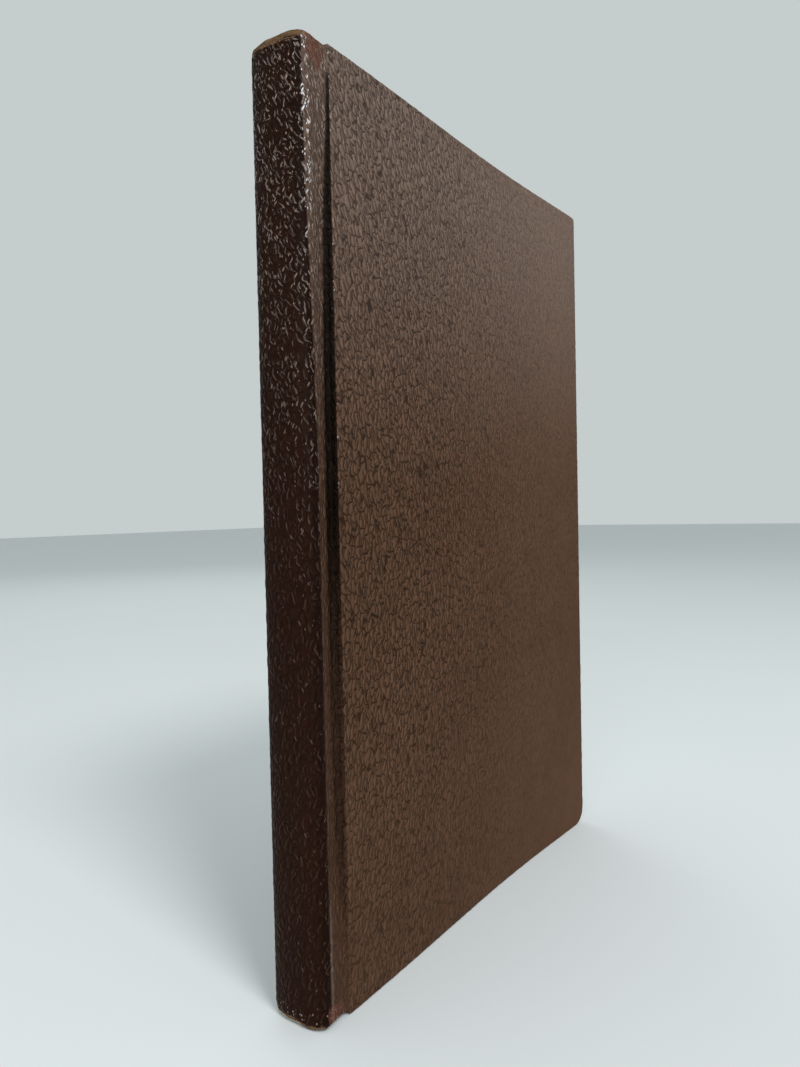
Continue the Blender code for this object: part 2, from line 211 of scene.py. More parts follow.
class Maker:
    """Adds nodes to one tree and returns their outputs as wires."""

    def __init__(self, tree):
        self.tree = tree

    def add(self, kind, settings=None, inputs=(), output=0):
        node = self.tree.nodes.new(kind)
        for name, value in (settings or {}).items():
            setattr(node, name, value)
        pairs = inputs.items() if isinstance(inputs, dict) else enumerate(inputs)
        for key, value in pairs:
            socket = socket_of(node.inputs, key)
            for each in value if isinstance(value, list) else [value]:
                if isinstance(each, Wire):
                    self.tree.links.new(each.socket, socket)
                else:
                    socket.default_value = each
        return Wire(self, socket_of(node.outputs, output))

    def parts(self, vector):
        """A vector's three numbers, as wires."""
        first = self.add("ShaderNodeSeparateXYZ", inputs=[vector])
        return [first, *(Wire(self, first.socket.node.outputs[k]) for k in (1, 2))]

    def joined(self, x, y, z):
        return self.add("ShaderNodeCombineXYZ", inputs=[x, y, z])

    def vector(self, operation, *values, output=0):
        return self.add("ShaderNodeVectorMath", {"operation": operation}, list(values), output)

    def scaled(self, vector, factor):
        return self.add(
            "ShaderNodeVectorMath", {"operation": "SCALE"}, {"Vector": vector, "Scale": factor}
        )

    def mix(self, factor, first, second):
        """A colour between two colours."""
        inputs = {"Factor_Float": factor, "A_Color": first, "B_Color": second}
        return self.add("ShaderNodeMix", {"data_type": "RGBA"}, inputs, "Result_Color")

    def shade(self, color, factor):
        """A colour made lighter or darker by a number."""
        return self.vector("MULTIPLY", color, self.joined(factor, factor, factor))

    def ramp(self, value, low, high):
        """0 at low and 1 at high, eased at both. low may be the larger of the two."""
        inputs = {"Value": value, "From Min": low, "From Max": high, "To Min": 0.0, "To Max": 1.0}
        if low > high:
            inputs.update({"From Min": high, "From Max": low, "To Min": 1.0, "To Max": 0.0})
        return self.add("ShaderNodeMapRange", {"interpolation_type": "SMOOTHSTEP"}, inputs)

    def near(self, value, far, close):
        """1 where the value, taken without its sign, has reached close, and 0 at far."""
        return self.ramp(value.math("ABSOLUTE"), far, close)

    def sine(self, value, length):
        """A wave between -1 and 1 that repeats every length."""
        return (value * (2 * math.pi / length)).math("SINE")

    def noise(self, vector, size, detail=2.0, roughness=0.5, output="Fac"):
        """Noise whose features are about size across, in the vector's own units."""
        inputs = {"Vector": vector, "Scale": 1.0 / size, "Detail": detail, "Roughness": roughness}
        return self.add("ShaderNodeTexNoise", inputs=inputs, output=output)

    def cells(self, vector, scale, feature="DISTANCE_TO_EDGE", output="Distance"):
        """Voronoi cells, scale of them to a metre."""
        inputs = {"Vector": vector, "Scale": scale}
        return self.add("ShaderNodeTexVoronoi", {"feature": feature}, inputs, output)


def shader(name):
    """A new material, its maker, and its Principled shader node."""
    made = bpy.data.materials.new(name)
    made.use_nodes = True
    return made, Maker(made.node_tree), made.node_tree.nodes["Principled BSDF"]


def connect(maker, node, **wires):
    """Links wires to the node's sockets, or sets numbers on them. A name's _ stands for a space."""
    for name, value in wires.items():
        socket = socket_of(node.inputs, name.replace("_", " "))
        if isinstance(value, Wire):
            maker.tree.links.new(value.socket, socket)
        else:
            socket.default_value = value


def relief(maker, node, height):
    """Bumps the shader's normal by a height in metres."""
    inputs = {"Height": height, "Distance": 1.0, "Strength": 1.0}
    connect(maker, node, Normal=maker.add("ShaderNodeBump", inputs=inputs, output="Normal"))


def stored(maker, name):
    """A point attribute of the piece, read in a shader."""
    settings = {"attribute_type": "GEOMETRY", "attribute_name": name}
    return maker.add("ShaderNodeAttribute", settings, output="Vector")


def object_place(maker):
    return maker.add("ShaderNodeTexCoord", output="Object")


def opaque(color):
    """A colour with its alpha, as a colour socket wants it."""
    return (*color, 1.0)


# ---------------------------------------------------------------- settings
def color_property(name, description, default):
    return FloatVectorProperty(
        name=name, description=description, default=default, subtype="COLOR", min=0.0, max=1.0
    )


def length_property(name, description, default):
    return FloatProperty(
        name=name, description=description, default=default, unit="LENGTH", min=0.0, precision=5
    )


class BookClothSettings(bpy.types.PropertyGroup):
    cell: length_property("Pebble", "Width of one pebble of the grain", 1.3 * MM)
    depth: length_property("Grain depth", "Depth of the creases between pebbles", 0.09 * MM)
    board_color: color_property("Board", "Cloth over the boards", (0.076, 0.0395, 0.0235))
    # the spine's colour is darker cloth, partly painted shade for the spine's shaded side
    spine_color: color_property("Spine", "Handled cloth over the spine", (0.0165, 0.0055, 0.0028))
    joint_color: color_property("Joint", "Cloth in the grooves", (0.055, 0.027, 0.016))
    worn_color: color_property(
        "Worn", "Base fabric where the coating has worn off", (0.19, 0.105, 0.06)
    )
    thread_color: color_property("Bare thread", "Reddish base threads", (0.17, 0.055, 0.04))


class BookPaperSettings(bpy.types.PropertyGroup):
    leaf: length_property("Leaf", "Thickness of one leaf", 0.07 * MM)
    sheets: IntProperty(
        name="Sheets", description="Folded sheets in one section", default=4, min=1, max=4
    )
    page_color: color_property("Page", "Wove text paper", (0.79, 0.71, 0.55))
    edge_color: color_property("Aged edge", "Paper towards the edges of a leaf", (0.55, 0.41, 0.24))
    endpaper_color: color_property("Endpaper", "Laid endpaper", (0.74, 0.64, 0.46))


class BookSpineSettings(bpy.types.PropertyGroup):
    mesh_pitch: length_property("Gauze pitch", "Spacing of the gauze's threads", 0.6 * MM)
    band_wrap: length_property("Band wrap", "Width of one wrap of the headband's silk", 0.29 * MM)
    light_silk: color_property("Light silk", "Pale silk of the headband", (0.72, 0.62, 0.42))
    dark_silk: color_property("Dark silk", "Dark silk of the headband", (0.26, 0.025, 0.03))


class BookStageSettings(bpy.types.PropertyGroup):
    floor_color: color_property("Floor", "Pale floor", (0.66, 0.69, 0.70))
    world_color: color_property("Surround", "Pale surround", (0.56, 0.61, 0.61))
    lens: FloatProperty(
        name="Lens", description="Focal length", default=26.99, unit="CAMERA", min=1.0
    )
    key_power: FloatProperty(
        name="Key light", description="Power of the overhead light", default=9.0, unit="POWER"
    )
    fill_power: FloatProperty(
        name="Side light", description="Light beside the spine", default=2.5, unit="POWER"
    )
    back_power: FloatProperty(
        name="Back light", description="Light behind the book", default=1.4, unit="POWER"
    )


# ---------------------------------------------------------------- meshes
def new_object(name, points, faces, attributes=None, heal=True):
    """A mesh object from points and faces, with point attributes, closed and facing outwards."""
    mesh = bpy.data.meshes.new(name)
    mesh.from_pydata([tuple(p) for p in points], [], [tuple(int(i) for i in f) for f in faces])
    for label, values in (attributes or {}).items():
        values = np.asarray(values, np.float32)
        kind = "FLOAT_VECTOR" if values.ndim == 2 else "FLOAT"
        layer = mesh.attributes.new(label, kind, "POINT")
        layer.data.foreach_set("vector" if values.ndim == 2 else "value", values.ravel())
    if heal:
        shape = bmesh.new()
        shape.from_mesh(mesh)
        bmesh.ops.remove_doubles(shape, verts=shape.verts, dist=2e-6)
        bmesh.ops.dissolve_degenerate(shape, edges=shape.edges, dist=1e-6)
        bmesh.ops.recalc_face_normals(shape, faces=shape.faces)
        shape.to_mesh(mesh)
        shape.free()
    obj = bpy.data.objects.new(name, mesh)
    bpy.context.scene.collection.objects.link(obj)
    return obj


def smooth_edges(obj):
    obj.data.shade_smooth()
    obj.data.set_sharp_from_angle(angle=SHARP_ANGLE)


def quads(index):
    """The four corners of every cell in a grid of point numbers."""
    cells = np.stack([index[:-1, :-1], index[1:, :-1], index[1:, 1:], index[:-1, 1:]], axis=-1)
    return [list(cell) for cell in cells.reshape(-1, 4)]


def rim(grid):
    """A grid's boundary as one closed run: up the first column, along the top and back."""
    up, along = grid[0, :-1], grid[:-1, -1]
    return np.concatenate([up, along, grid[-1, :0:-1], grid[:0:-1, 0]])


def closed_sheet(name, face, back):
    """A thin sheet as one closed body, from the grids of points on its two faces."""
    columns, rows = face.shape[:2]
    count = columns * rows
    index = np.arange(count).reshape(columns, rows)
    edge = rim(index)
    faces = quads(index) + quads(index + count)
    faces += quads(np.stack([edge, edge + count], axis=1))
    faces.append([edge[-1], edge[0], edge[0] + count, edge[-1] + count])
    points = np.concatenate([face.reshape(-1, 3), back.reshape(-1, 3)])
    made = new_object(name, points, faces, {"place": points})
    smooth_edges(made)
    return made


def even(line, count):
    """The line resampled to count points that are evenly spaced along it."""
    line = np.asarray(line, float)
    steps = np.r_[0, np.cumsum(np.linalg.norm(np.diff(line, axis=0), axis=1))]
    marks = np.linspace(0, steps[-1], count)
    return np.column_stack([np.interp(marks, steps, line[:, k]) for k in (0, 1)])


def softened(values, width):
    """The values smoothed along the first axis by a bell of that many samples, ends kept."""
    values = np.asarray(values, float)
    reach = int(4 * width)
    bell = np.exp(-0.5 * (np.arange(-reach, reach + 1) / width) ** 2)
    bell /= bell.sum()
    flat = values.reshape(len(values), -1)
    out = []
    for column in flat.T:
        before = column[0] + (column[0] - column[1]) * np.arange(reach, 0, -1)
        after = column[-1] + (column[-1] - column[-2]) * np.arange(1, reach + 1)
        out.append(np.convolve(np.r_[before, column, after], bell, mode="valid"))
    return np.array(out).T.reshape(values.shape)


def smoothstep(value, low, high):
    t = np.clip((np.asarray(value, float) - low) / (high - low), 0, 1)
    return t * t * (3 - 2 * t)


def dish(x, share=1.0):
    """How far the front board has sunk towards the leaves at this x; share scales it."""
    reach = np.clip((np.asarray(x, float) - BOARD_EDGE_X) / (FORE_X - BOARD_EDGE_X), 0, 1)
    hollow = np.clip(np.sin(np.pi * reach**1.3), 0, 1) ** 1.5
    return share * (DISH * hollow + DISH_EDGE * reach)


def joint_room(x):
    """How far the outermost paper draws in beside the joint, to leave an open cover some room."""
    reach = np.clip((np.asarray(x, float) - FOLD_X) / PINCH_REACH, 0, 1)
    return PINCH * np.sin(np.pi * reach**0.75)


def to_row_frame(x, w, z, side):
    """Points of a cover, from X, W and Z to the row frame."""
    x, w, z = np.broadcast_arrays(x, w, z)
    return np.stack([x, side * w, z], axis=-1)


# ---------------------------------------------------------------- geometry node trees
def geometry_tree(name, wanted):
    """A node group that takes a mesh and these named inputs: {name: (socket type, default)}."""
    tree = bpy.data.node_groups.new(name, "GeometryNodeTree")
    tree.interface.new_socket("Geometry", in_out="INPUT", socket_type="NodeSocketGeometry")
    for label, (kind, value) in wanted.items():
        socket = tree.interface.new_socket(label, in_out="INPUT", socket_type=kind)
        if value is not None:
            socket.default_value = value
    tree.interface.new_socket("Geometry", in_out="OUTPUT", socket_type="NodeSocketGeometry")
    maker = Maker(tree)
    entry = tree.nodes.new("NodeGroupInput")
    given = {s.name: Wire(maker, s) for s in entry.outputs if s.name}
    return maker, given


def end_tree(maker, shape, material):
    """Realizes the shape, gives it its material and links it to the group's output."""
    whole = maker.add("GeometryNodeRealizeInstances", inputs=[shape])
    painted = shaped(maker, "SetMaterial", Geometry=whole, Material=material)
    out = maker.tree.nodes.new("NodeGroupOutput")
    maker.tree.links.new(painted.socket, out.inputs[0])
    return maker.tree


def shaped(maker, kind, settings=None, **inputs):
    """A geometry node with its inputs by name. A name's _ stands for a space."""
    inputs = {name.replace("_", " "): value for name, value in inputs.items()}
    return maker.add("GeometryNode" + kind, settings, inputs)


def point_line(maker, **inputs):
    """A line of points, each a step on from the one before."""
    return shaped(maker, "MeshLine", {"mode": "OFFSET"}, **inputs)


def store(maker, shape, name, value, kind="FLOAT"):
    return maker.add(
        "GeometryNodeStoreNamedAttribute",
        {"data_type": kind, "domain": "POINT"},
        {"Geometry": shape, "Name": name, "Value": value},
    )


def named(maker, name, kind="FLOAT"):
    """A point attribute read in a geometry tree."""
    return maker.add(
        "GeometryNodeInputNamedAttribute", {"data_type": kind}, {"Name": name}, "Attribute"
    )


def grow(obj, tree, **values):
    """Runs a node group on the object and keeps its result as the object's plain mesh."""
    modifier = obj.modifiers.new(tree.name, "NODES")
    modifier.node_group = tree
    for item in tree.interface.items_tree:
        key = item.name.lower().replace(" ", "_")
        if item.in_out == "INPUT" and key in values:
            modifier[item.identifier] = values[key]
    bpy.context.view_layer.update()
    graph = bpy.context.evaluated_depsgraph_get()
    made = bpy.data.meshes.new_from_object(obj.evaluated_get(graph))
    obj.modifiers.remove(modifier)
    obj.data = made
    made.name = obj.name
    return obj


def seedling(name):
    """An empty mesh object for a tree that makes all of its shape."""
    return new_object(name, [(0, 0, 0)], [], heal=False)


# ---------------------------------------------------------------- the grain, for shape and shader
def pebble_edge(maker, span, scale):
    """How far a point is from the nearest crease of the grain. span is the cloth laid out flat.

    Pebbles lean one way: they are longer down towards the fore-edge than across it.
    """
    drift = maker.noise(span, 2.6 * MM, 2.0, output="Color")
    wander = maker.scaled(maker.vector("SUBTRACT", drift, (0.5, 0.5, 0.5)), 1.5 * MM)
    moved = maker.vector("ADD", span, wander)
    sideways, up, _ = maker.parts(moved)
    above = (up - 0.36 * HEIGHT) * (1.5 / HEIGHT)
    long_way = up * 0.56 - sideways * 0.12
    cross_way = sideways * 1.12 + above * above * (0.2 * HEIGHT)
    return maker.cells(maker.joined(long_way, cross_way, 0.0), scale)


def dabs(maker, span, lean, length, width, share):
    """Short separate strokes lying along the cloth, at a slant of lean. share is how many show."""
    along, across = math.cos(lean), math.sin(lean)
    u = maker.vector("DOT_PRODUCT", span, (along / length, across / length, 0.0), output="Value")
    v = maker.vector("DOT_PRODUCT", span, (-across / width, along / width, 0.0), output="Value")
    where = maker.joined(u, v, lean)
    near = maker.cells(where, 1.0, "F1")
    luck, size, _ = maker.parts(maker.cells(where, 1.0, "F1", "Color"))
    shown = (luck - (1.0 - share)).math("GREATER_THAN", 0.0)
    return maker.ramp(near - size * 0.16, 0.2, 0.08) * shown


def domes_of(maker, edge):
    """0 in a crease and 1 on top of a pebble."""
    return maker.ramp(edge, 0.0, 0.3)


def grain_tree():
    """Presses the grain into a sheet of cloth, inwards from its outer face."""
    maker, given = geometry_tree(
        "pressed_grain",
        {
            "Pebble scale": ("NodeSocketFloat", 700.0),
            "Depth": ("NodeSocketFloat", 0.1 * MM),
            "Material": ("NodeSocketMaterial", None),
        },
    )
    edge = pebble_edge(maker, named(maker, "span", "FLOAT_VECTOR"), given["Pebble scale"])
    domes = domes_of(maker, edge)
    press = (1.0 - domes) * given["Depth"] * named(maker, "grain") * -1.0
    offset = maker.scaled(maker.add("GeometryNodeInputNormal", output="Normal"), press)
    moved = shaped(maker, "SetPosition", Geometry=given["Geometry"], Offset=offset)
    return end_tree(maker, moved, given["Material"])


# ---------------------------------------------------------------- leathercloth shapes
FINE_STEP = 0.02 * MM


def cross_section(far_share, groove):
    """A cover's outer face in X and W, from a station on the spine to the fore-edge.

    Also gives the sample where the ridge is, and the first and last of the board's step.
    """
    share = np.linspace(far_share, 1.0, 4000)
    turn = share * np.pi / 2
    power = 2 / ARCH_EXPONENT
    rise = ARCH * np.abs(np.cos(turn)) ** power
    across = HALF * np.sign(share) * np.abs(np.sin(turn)) ** power
    arch = np.column_stack([RIDGE_X - rise, across])
    length = np.linalg.norm(np.diff(arch, axis=0), axis=1).sum()

    reach = np.linspace(0, 1, 200)
    start, stop = RIDGE_X + HINGE_GAP, BOARD_EDGE_X - STEP_ROUND
    depth = groove * np.sin(reach * np.pi / 2) ** 1.5
    joint = np.column_stack([start + (stop - start) * reach, HALF - depth])
    corner = min(STEP_ROUND, groove / 2)
    step = [
        (stop, HALF - groove),
        (BOARD_EDGE_X, HALF - groove + corner),
        (BOARD_EDGE_X, HALF - corner),
        (BOARD_EDGE_X + STEP_ROUND, HALF),
    ]
    face = [step[-1], (FORE_X - EDGE_ROUND, HALF)]
    counts = [
        max(int(length / FINE_STEP), 20),
        int((stop - start) / FINE_STEP),
        int((GROOVE + STEP_ROUND) / FINE_STEP),
        int((FORE_X - BOARD_EDGE_X) / FINE_STEP),
    ]
    runs = [even(line, count) for line, count in zip((arch, joint, step, face), counts)]
    line = np.concatenate([runs[0]] + [run[1:] for run in runs[1:]])
    ridge = counts[0] - 1
    foot = ridge + counts[1] - 1
    return softened(line, 0.2 * MM / FINE_STEP), (ridge, foot, foot + counts[2] - 1)


def outward(line):
    """Unit normals of a cross-section, pointing out of the book."""
    along = np.gradient(line, axis=0)
    along /= np.linalg.norm(along, axis=1)[:, None]
    return np.column_stack([-along[:, 1], along[:, 0]])


def stations(line, marks):
    """Sample numbers along a cross-section: close together where it turns sharply."""
    arc = np.r_[0, np.cumsum(np.linalg.norm(np.diff(line, axis=0), axis=1))]
    ridge, foot, top = (arc[mark] for mark in marks)
    gap = np.full(len(arc), 0.72 * MM)
    gap[(arc > ridge) & (arc < foot)] = 0.42 * MM
    gap[np.abs(arc - ridge) < 1.4 * MM] = 0.2 * MM
    gap[(arc > foot - 0.5 * MM) & (arc < top + 0.5 * MM)] = 0.16 * MM
    gap = softened(gap, 0.3 * MM / FINE_STEP)
    drawn = np.r_[0, np.cumsum(np.diff(arc) / gap[1:])]
    picks = np.linspace(0, drawn[-1], int(drawn[-1]) + 1)
    return np.interp(picks, drawn, np.arange(len(arc))), arc


def cloth_depth(line, marks):
    """How deep the turned-in flap's inner face lies under each sample of the outer face."""
    deep = np.full(len(line), 2 * CLOTH + 0.05 * MM)
    deep[np.abs(line[:, 1]) < CARD_HALF + 0.5 * MM] = 2 * CLOTH + CARD + 2 * GLUE
    deep[marks[2] :] = BOARD_BOTTOM + GLUE + CLOTH
    deep[marks[0] : marks[2]] = 2 * CLOTH + 0.05 * MM
    return softened(deep, 0.35 * MM / FINE_STEP)


def end_lift(x, w, z, head, tail):
    """How far the cloth's ends have crept in from head and tail over the spine and the joint."""
    spine = smoothstep(x, RIDGE_X + 0.3 * MM, RIDGE_X - 0.8 * MM)
    cap = np.exp(-(((w / HALF - 0.45) / 0.3) ** 2)) * spine
    past = 1 - smoothstep(x, BOARD_EDGE_X - 0.8 * MM, BOARD_EDGE_X + 0.6 * MM)
    near_tail = np.clip(1 - z / (7 * MM), 0, 1) ** 2
    near_head = np.clip(1 - (HEIGHT - z) / (7 * MM), 0, 1) ** 2
    ripple = 0.06 * MM * np.sin(w / (0.9 * MM)) * spine
    rise = past * (tail * (1 - 0.55 * spine) - 0.45 * MM * cap + ripple)
    fall = past * (head * (1 - 0.5 * spine) + ripple)
    return rise * near_tail - fall * near_head


def corner_mapped(x, z):
    """Bends a square grid round the board's two fore-edge corners. Also gives the way outwards."""
    x, z = np.array(x, float), np.array(z, float)
    way = np.zeros(x.shape + (2,))
    for radius, middle, up in (
        (TAIL_CORNER, TAIL_CORNER, -1),
        (HEAD_CORNER, HEIGHT - HEAD_CORNER, 1),
    ):
        inner = radius - EDGE_ROUND
        u = (x - (FORE_X - radius)) / inner
        v = up * (z - middle) / inner
        inside = (u > 0) & (v > 0)
        u, v = np.where(inside, u, 0), np.where(inside, v, 0)
        round_u, round_v = u * np.sqrt(1 - v * v / 2), v * np.sqrt(1 - u * u / 2)
        x = np.where(inside, FORE_X - radius + inner * round_u, x)
        z = np.where(inside, middle + up * inner * round_v, z)
        size = np.maximum(np.hypot(round_u, round_v), 1e-9)
        found = np.stack([round_u / size, up * round_v / size], axis=-1)
        way = np.where(inside[..., None], found, way)
    return x, z, way


class ClothSheet:
    """One cover's leathercloth: skin, edges and turned-in flaps, in one closed shell."""

    def __init__(self, side, far_share):
        self.side = side
        self.front = side < 0
        deep_line, marks = cross_section(far_share, GROOVE)
        flat_line, _ = cross_section(far_share, GROOVE_AT_ENDS)
        picks, arc = stations(deep_line, marks)
        samples = np.arange(len(arc))

        def pick(values):
            values = np.asarray(values, float).reshape(len(arc), -1)
            found = [np.interp(picks, samples, column) for column in values.T]
            return np.array(found).T.squeeze()

        self.arc = pick(arc) - arc[marks[0]]
        self.deep, self.deep_out = pick(deep_line), pick(outward(deep_line))
        self.flat, self.flat_out = pick(flat_line), pick(outward(flat_line))
        self.flap_depth = pick(cloth_depth(flat_line, marks))
        self.on_spine = smoothstep(self.flat[:, 0], RIDGE_X + 0.6 * MM, RIDGE_X - 0.9 * MM)
        self.columns = len(picks)
        count = int(round((HEIGHT - 2 * EDGE_ROUND) / (0.72 * MM))) + 1
        self.rows = np.linspace(EDGE_ROUND, HEIGHT - EDGE_ROUND, count)
        self.points, self.spans, self.grains, self.faces = [], [], [], []
        self.total = 0

    def fade(self, z):
        """1 where the groove has its full depth, 0 at head and tail."""
        ends = np.minimum(z, HEIGHT - z)
        return smoothstep(ends, 0.8 * MM, GROOVE_FADE)

    @staticmethod
    def cap(z):
        """How far the spine's ends are rounded inwards."""
        near_end = np.clip(1 - np.minimum(z, HEIGHT - z) / CAP_REACH, 0, 1)
        return CAP_ROUND * near_end**2

    def placed(self, x, w, z):
        """Sinks the board, creeps the ends in, and moves points to the row frame."""
        if self.front:
            w = w - dish(x)
            z = z + end_lift(x, w, z, 0.5 * MM, 1.15 * MM)
        else:
            z = z + end_lift(x, w, z, 0.3 * MM, 0.6 * MM)
        return to_row_frame(x, w, z, self.side)

    def face_grid(self, depth):
        """The grid of points at a depth under the outer face, in X, W and Z."""
        deep = self.deep - depth * self.deep_out
        flat = self.flat - depth * self.flat_out
        share = self.fade(self.rows)[None, :, None]
        both = deep[:, None, :] * share + flat[:, None, :] * (1 - share)
        z = np.broadcast_to(self.rows, both.shape[:2])
        both = both - (self.cap(z) * self.on_spine[:, None])[..., None] * self.flat_out[:, None, :]
        x, z, way = corner_mapped(both[..., 0], z)
        return x, both[..., 1], z, way

    def add(self, points, span, grain):
        """Files a block of points and returns their numbers in the block's own shape."""
        shape = points.shape[:-1]
        count = int(np.prod(shape))
        self.points.append(points.reshape(-1, 3))
        self.spans.append(np.broadcast_to(span, shape + (3,)).reshape(-1, 3))
        self.grains.append(np.broadcast_to(grain, shape).reshape(-1))
        self.total += count
        return np.arange(self.total - count, self.total).reshape(shape)

    def chain(self, grid):
        """The grid's boundary: along the head, down the fore-edge and back along the tail."""
        return np.concatenate([grid[:, -1], grid[-1, -2::-1], grid[-2::-1, 0]])

    def build(self, name):
        x, w, z, way = self.face_grid(0.0)
        arc = np.broadcast_to(self.arc[:, None], x.shape)
        flat = np.stack([arc, z, np.zeros_like(z)], axis=-1)
        outer = self.add(self.placed(x, w, z), flat, 1.0)
        self.faces += quads(outer)

        edge_x, edge_w, edge_z = self.chain(x), self.chain(w), self.chain(z)
        corner = self.chain(way)
        length = len(edge_x)
        last = self.columns - 1
        straight = np.zeros((length, 2))
        straight[: last + 1] = (0, 1)
        straight[last + 1 : length - last - 1] = (1, 0)
        straight[length - last - 1 :] = (0, -1)
        bent = np.hypot(corner[:, 0], corner[:, 1]) > 0.5
        way = np.where(bent[:, None], corner, straight)

        station = np.arange(self.columns)
        column = np.concatenate([station, np.full(length - 2 * self.columns, last), station[::-1]])
        inward = -self.flat_out[column]
        deep = self.flap_depth[column]
        bend = np.minimum(EDGE_ROUND, deep / 2)
        span = self.chain(flat)

        def ring(offset, depth, grain, beyond):
            """Points past the face's edge by offset, at a depth below the outer face."""
            rz = edge_z + way[:, 1] * offset
            deeper = depth + (self.cap(rz) - self.cap(edge_z)) * self.on_spine[column]
            rx = edge_x + way[:, 0] * offset + inward[:, 0] * deeper
            inset = np.maximum(EDGE_ROUND - offset, 0)
            limit = FORE_X - inset
            beyond_edge = (offset < 0) & (rx > limit)
            rx = np.where(beyond_edge, limit, rx)
            rz = np.where(offset < 0, np.clip(rz, inset, HEIGHT - inset), rz)
            rw = edge_w + inward[:, 1] * deeper
            far = np.column_stack([way[:, 0] * beyond, way[:, 1] * beyond, np.zeros(length)])
            return self.add(self.placed(rx, rw, rz), span + far, grain)

        rings = [self.chain(outer)]
        reach = 0.0
        for degrees in (22.5, 45, 67.5, 90):
            angle = math.radians(degrees)
            reach = EDGE_ROUND * angle
            rings.append(ring(bend * math.sin(angle), bend * (1 - math.cos(angle)), 0.8, reach))
        for share in (0.33, 0.67, 1.0):
            depth = bend + (deep - 2 * bend) * share
            rings.append(ring(bend, depth, 0.6, reach + share * (deep - 2 * bend)))
        for degrees in (30, 60, 90):
            angle = math.radians(degrees)
            beyond = reach + deep - 2 * bend + EDGE_ROUND * angle
            offset, depth = bend * math.cos(angle), deep - bend + bend * math.sin(angle)
            rings.append(ring(offset, depth, 0.6, beyond))
        flap = TURN_IN - EDGE_ROUND
        for share in np.linspace(0, 1, 14)[1:]:
            beyond = 2 * reach + deep + flap * share
            rings.append(ring(np.full(length, -flap * share), deep, 0.6, beyond))
        for share in (1.0, 0.66, 0.33, 0.0):
            rings.append(ring(np.full(length, -flap * share), deep - CLOTH, 0.0, 0.0))
        rings.append(ring(np.maximum(bend - CLOTH, 0.02 * MM), deep - CLOTH, 0.0, 0.0))
        rings.append(ring(np.maximum(bend - CLOTH, 0.02 * MM), np.full(length, CLOTH), 0.0, 0.0))

        hidden = self.hidden_skin(rings)
        self.faces += quads(np.array(rings).T)
        self.close_seam(outer, hidden, rings)
        return self.shell(name)

    def hidden_skin(self, rings):
        """The side glued to the board, in broad strips. Returns its seam column's numbers."""
        x, w, z, _ = self.face_grid(CLOTH)
        grid = self.placed(x, w, z)
        count = len(self.rows)
        bands = list(range(0, count, 12))
        if bands[-1] != count - 1:
            bands.append(count - 1)
        kept = {j: self.add(grid[:, j], 0.0, 0.0) for j in bands}
        seam = np.zeros(count, int)
        fore = np.zeros(count, int)
        for j in range(count):
            pair = (kept[j][0], kept[j][-1]) if j in kept else None
            if pair is None:
                pair = self.add(grid[[0, -1], j], 0.0, 0.0)
            seam[j], fore[j] = pair
        for low, high in zip(bands[:-1], bands[1:]):
            lower, upper = kept[low], kept[high]
            self.faces += quads(np.stack([lower[1:-1], upper[1:-1]], axis=1))
            self.faces.append([lower[1], upper[1], *seam[low : high + 1][::-1]])
            self.faces.append([upper[-2], lower[-2], *fore[low : high + 1]])
        rings.append(np.concatenate([kept[count - 1], fore[-2::-1], kept[0][-2::-1]]))
        return seam

    def close_seam(self, outer, hidden, rings):
        """The cut edge of the cloth where it meets the other cover's piece."""
        self.faces += quads(np.stack([outer[0], hidden], axis=1))
        for end in (0, -1):
            self.faces.append([run[end] for run in rings])

    def shell(self, name):
        points = np.concatenate(self.points)
        attributes = {
            "place": points,
            "span": np.concatenate(self.spans),
            "grain": np.concatenate(self.grains),
        }
        return new_object(name, points, self.faces, attributes)


def make_cover_cloth(context):
    """Both covers' leathercloth, the front one carrying most of the spine."""
    settings = context.scene.book_cloth
    leather = leathercloth(settings)
    tree = grain_tree()
    for word, side, far_share in (("front", -1, -SEAM_SHARE), ("back", 1, SEAM_SHARE)):
        piece = ClothSheet(side, far_share).build(f"{word}_leathercloth")
        grow(piece, tree, pebble_scale=1 / settings.cell, depth=settings.depth, material=leather)
        smooth_edges(piece)
        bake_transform(piece)
        nodes = [f"{word}_cover_leather"] + (["spine_leather"] if side < 0 else [])
        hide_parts(*nodes)


# ---------------------------------------------------------------- boards and endpapers
def board_grid(left, right, low, high, columns, rows, inset):
    """A grid over a board's face in X and Z, with the board's two rounded corners."""
    x, z = np.meshgrid(
        np.linspace(left, right, columns), np.linspace(low, high, rows), indexing="ij"
    )
    grown_x, grown_z, _ = corner_mapped(x + inset - EDGE_ROUND, z)
    return np.minimum(grown_x - inset + EDGE_ROUND, right), np.clip(grown_z, low, high)


def make_boards(context):
    """The two greyboards, the front one warped as its cover is."""
    material = greyboard()
    inset = CLOTH + GLUE
    for word, side in (("front", -1), ("back", 1)):
        x, z = board_grid(
            BOARD_EDGE_X + inset, FORE_X - inset, inset, HEIGHT - inset, 48, 64, inset
        )
        sink = dish(x) if side < 0 else 0.0
        face = to_row_frame(x, HALF - BOARD_TOP - sink, z, side)
        back = to_row_frame(x, HALF - BOARD_BOTTOM - sink, z, side)
        piece = closed_sheet(f"{word}_greyboard", face, back)
        piece.data.materials.append(material)
        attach(piece, f"{word}_cover")
        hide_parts(f"{word}_board")


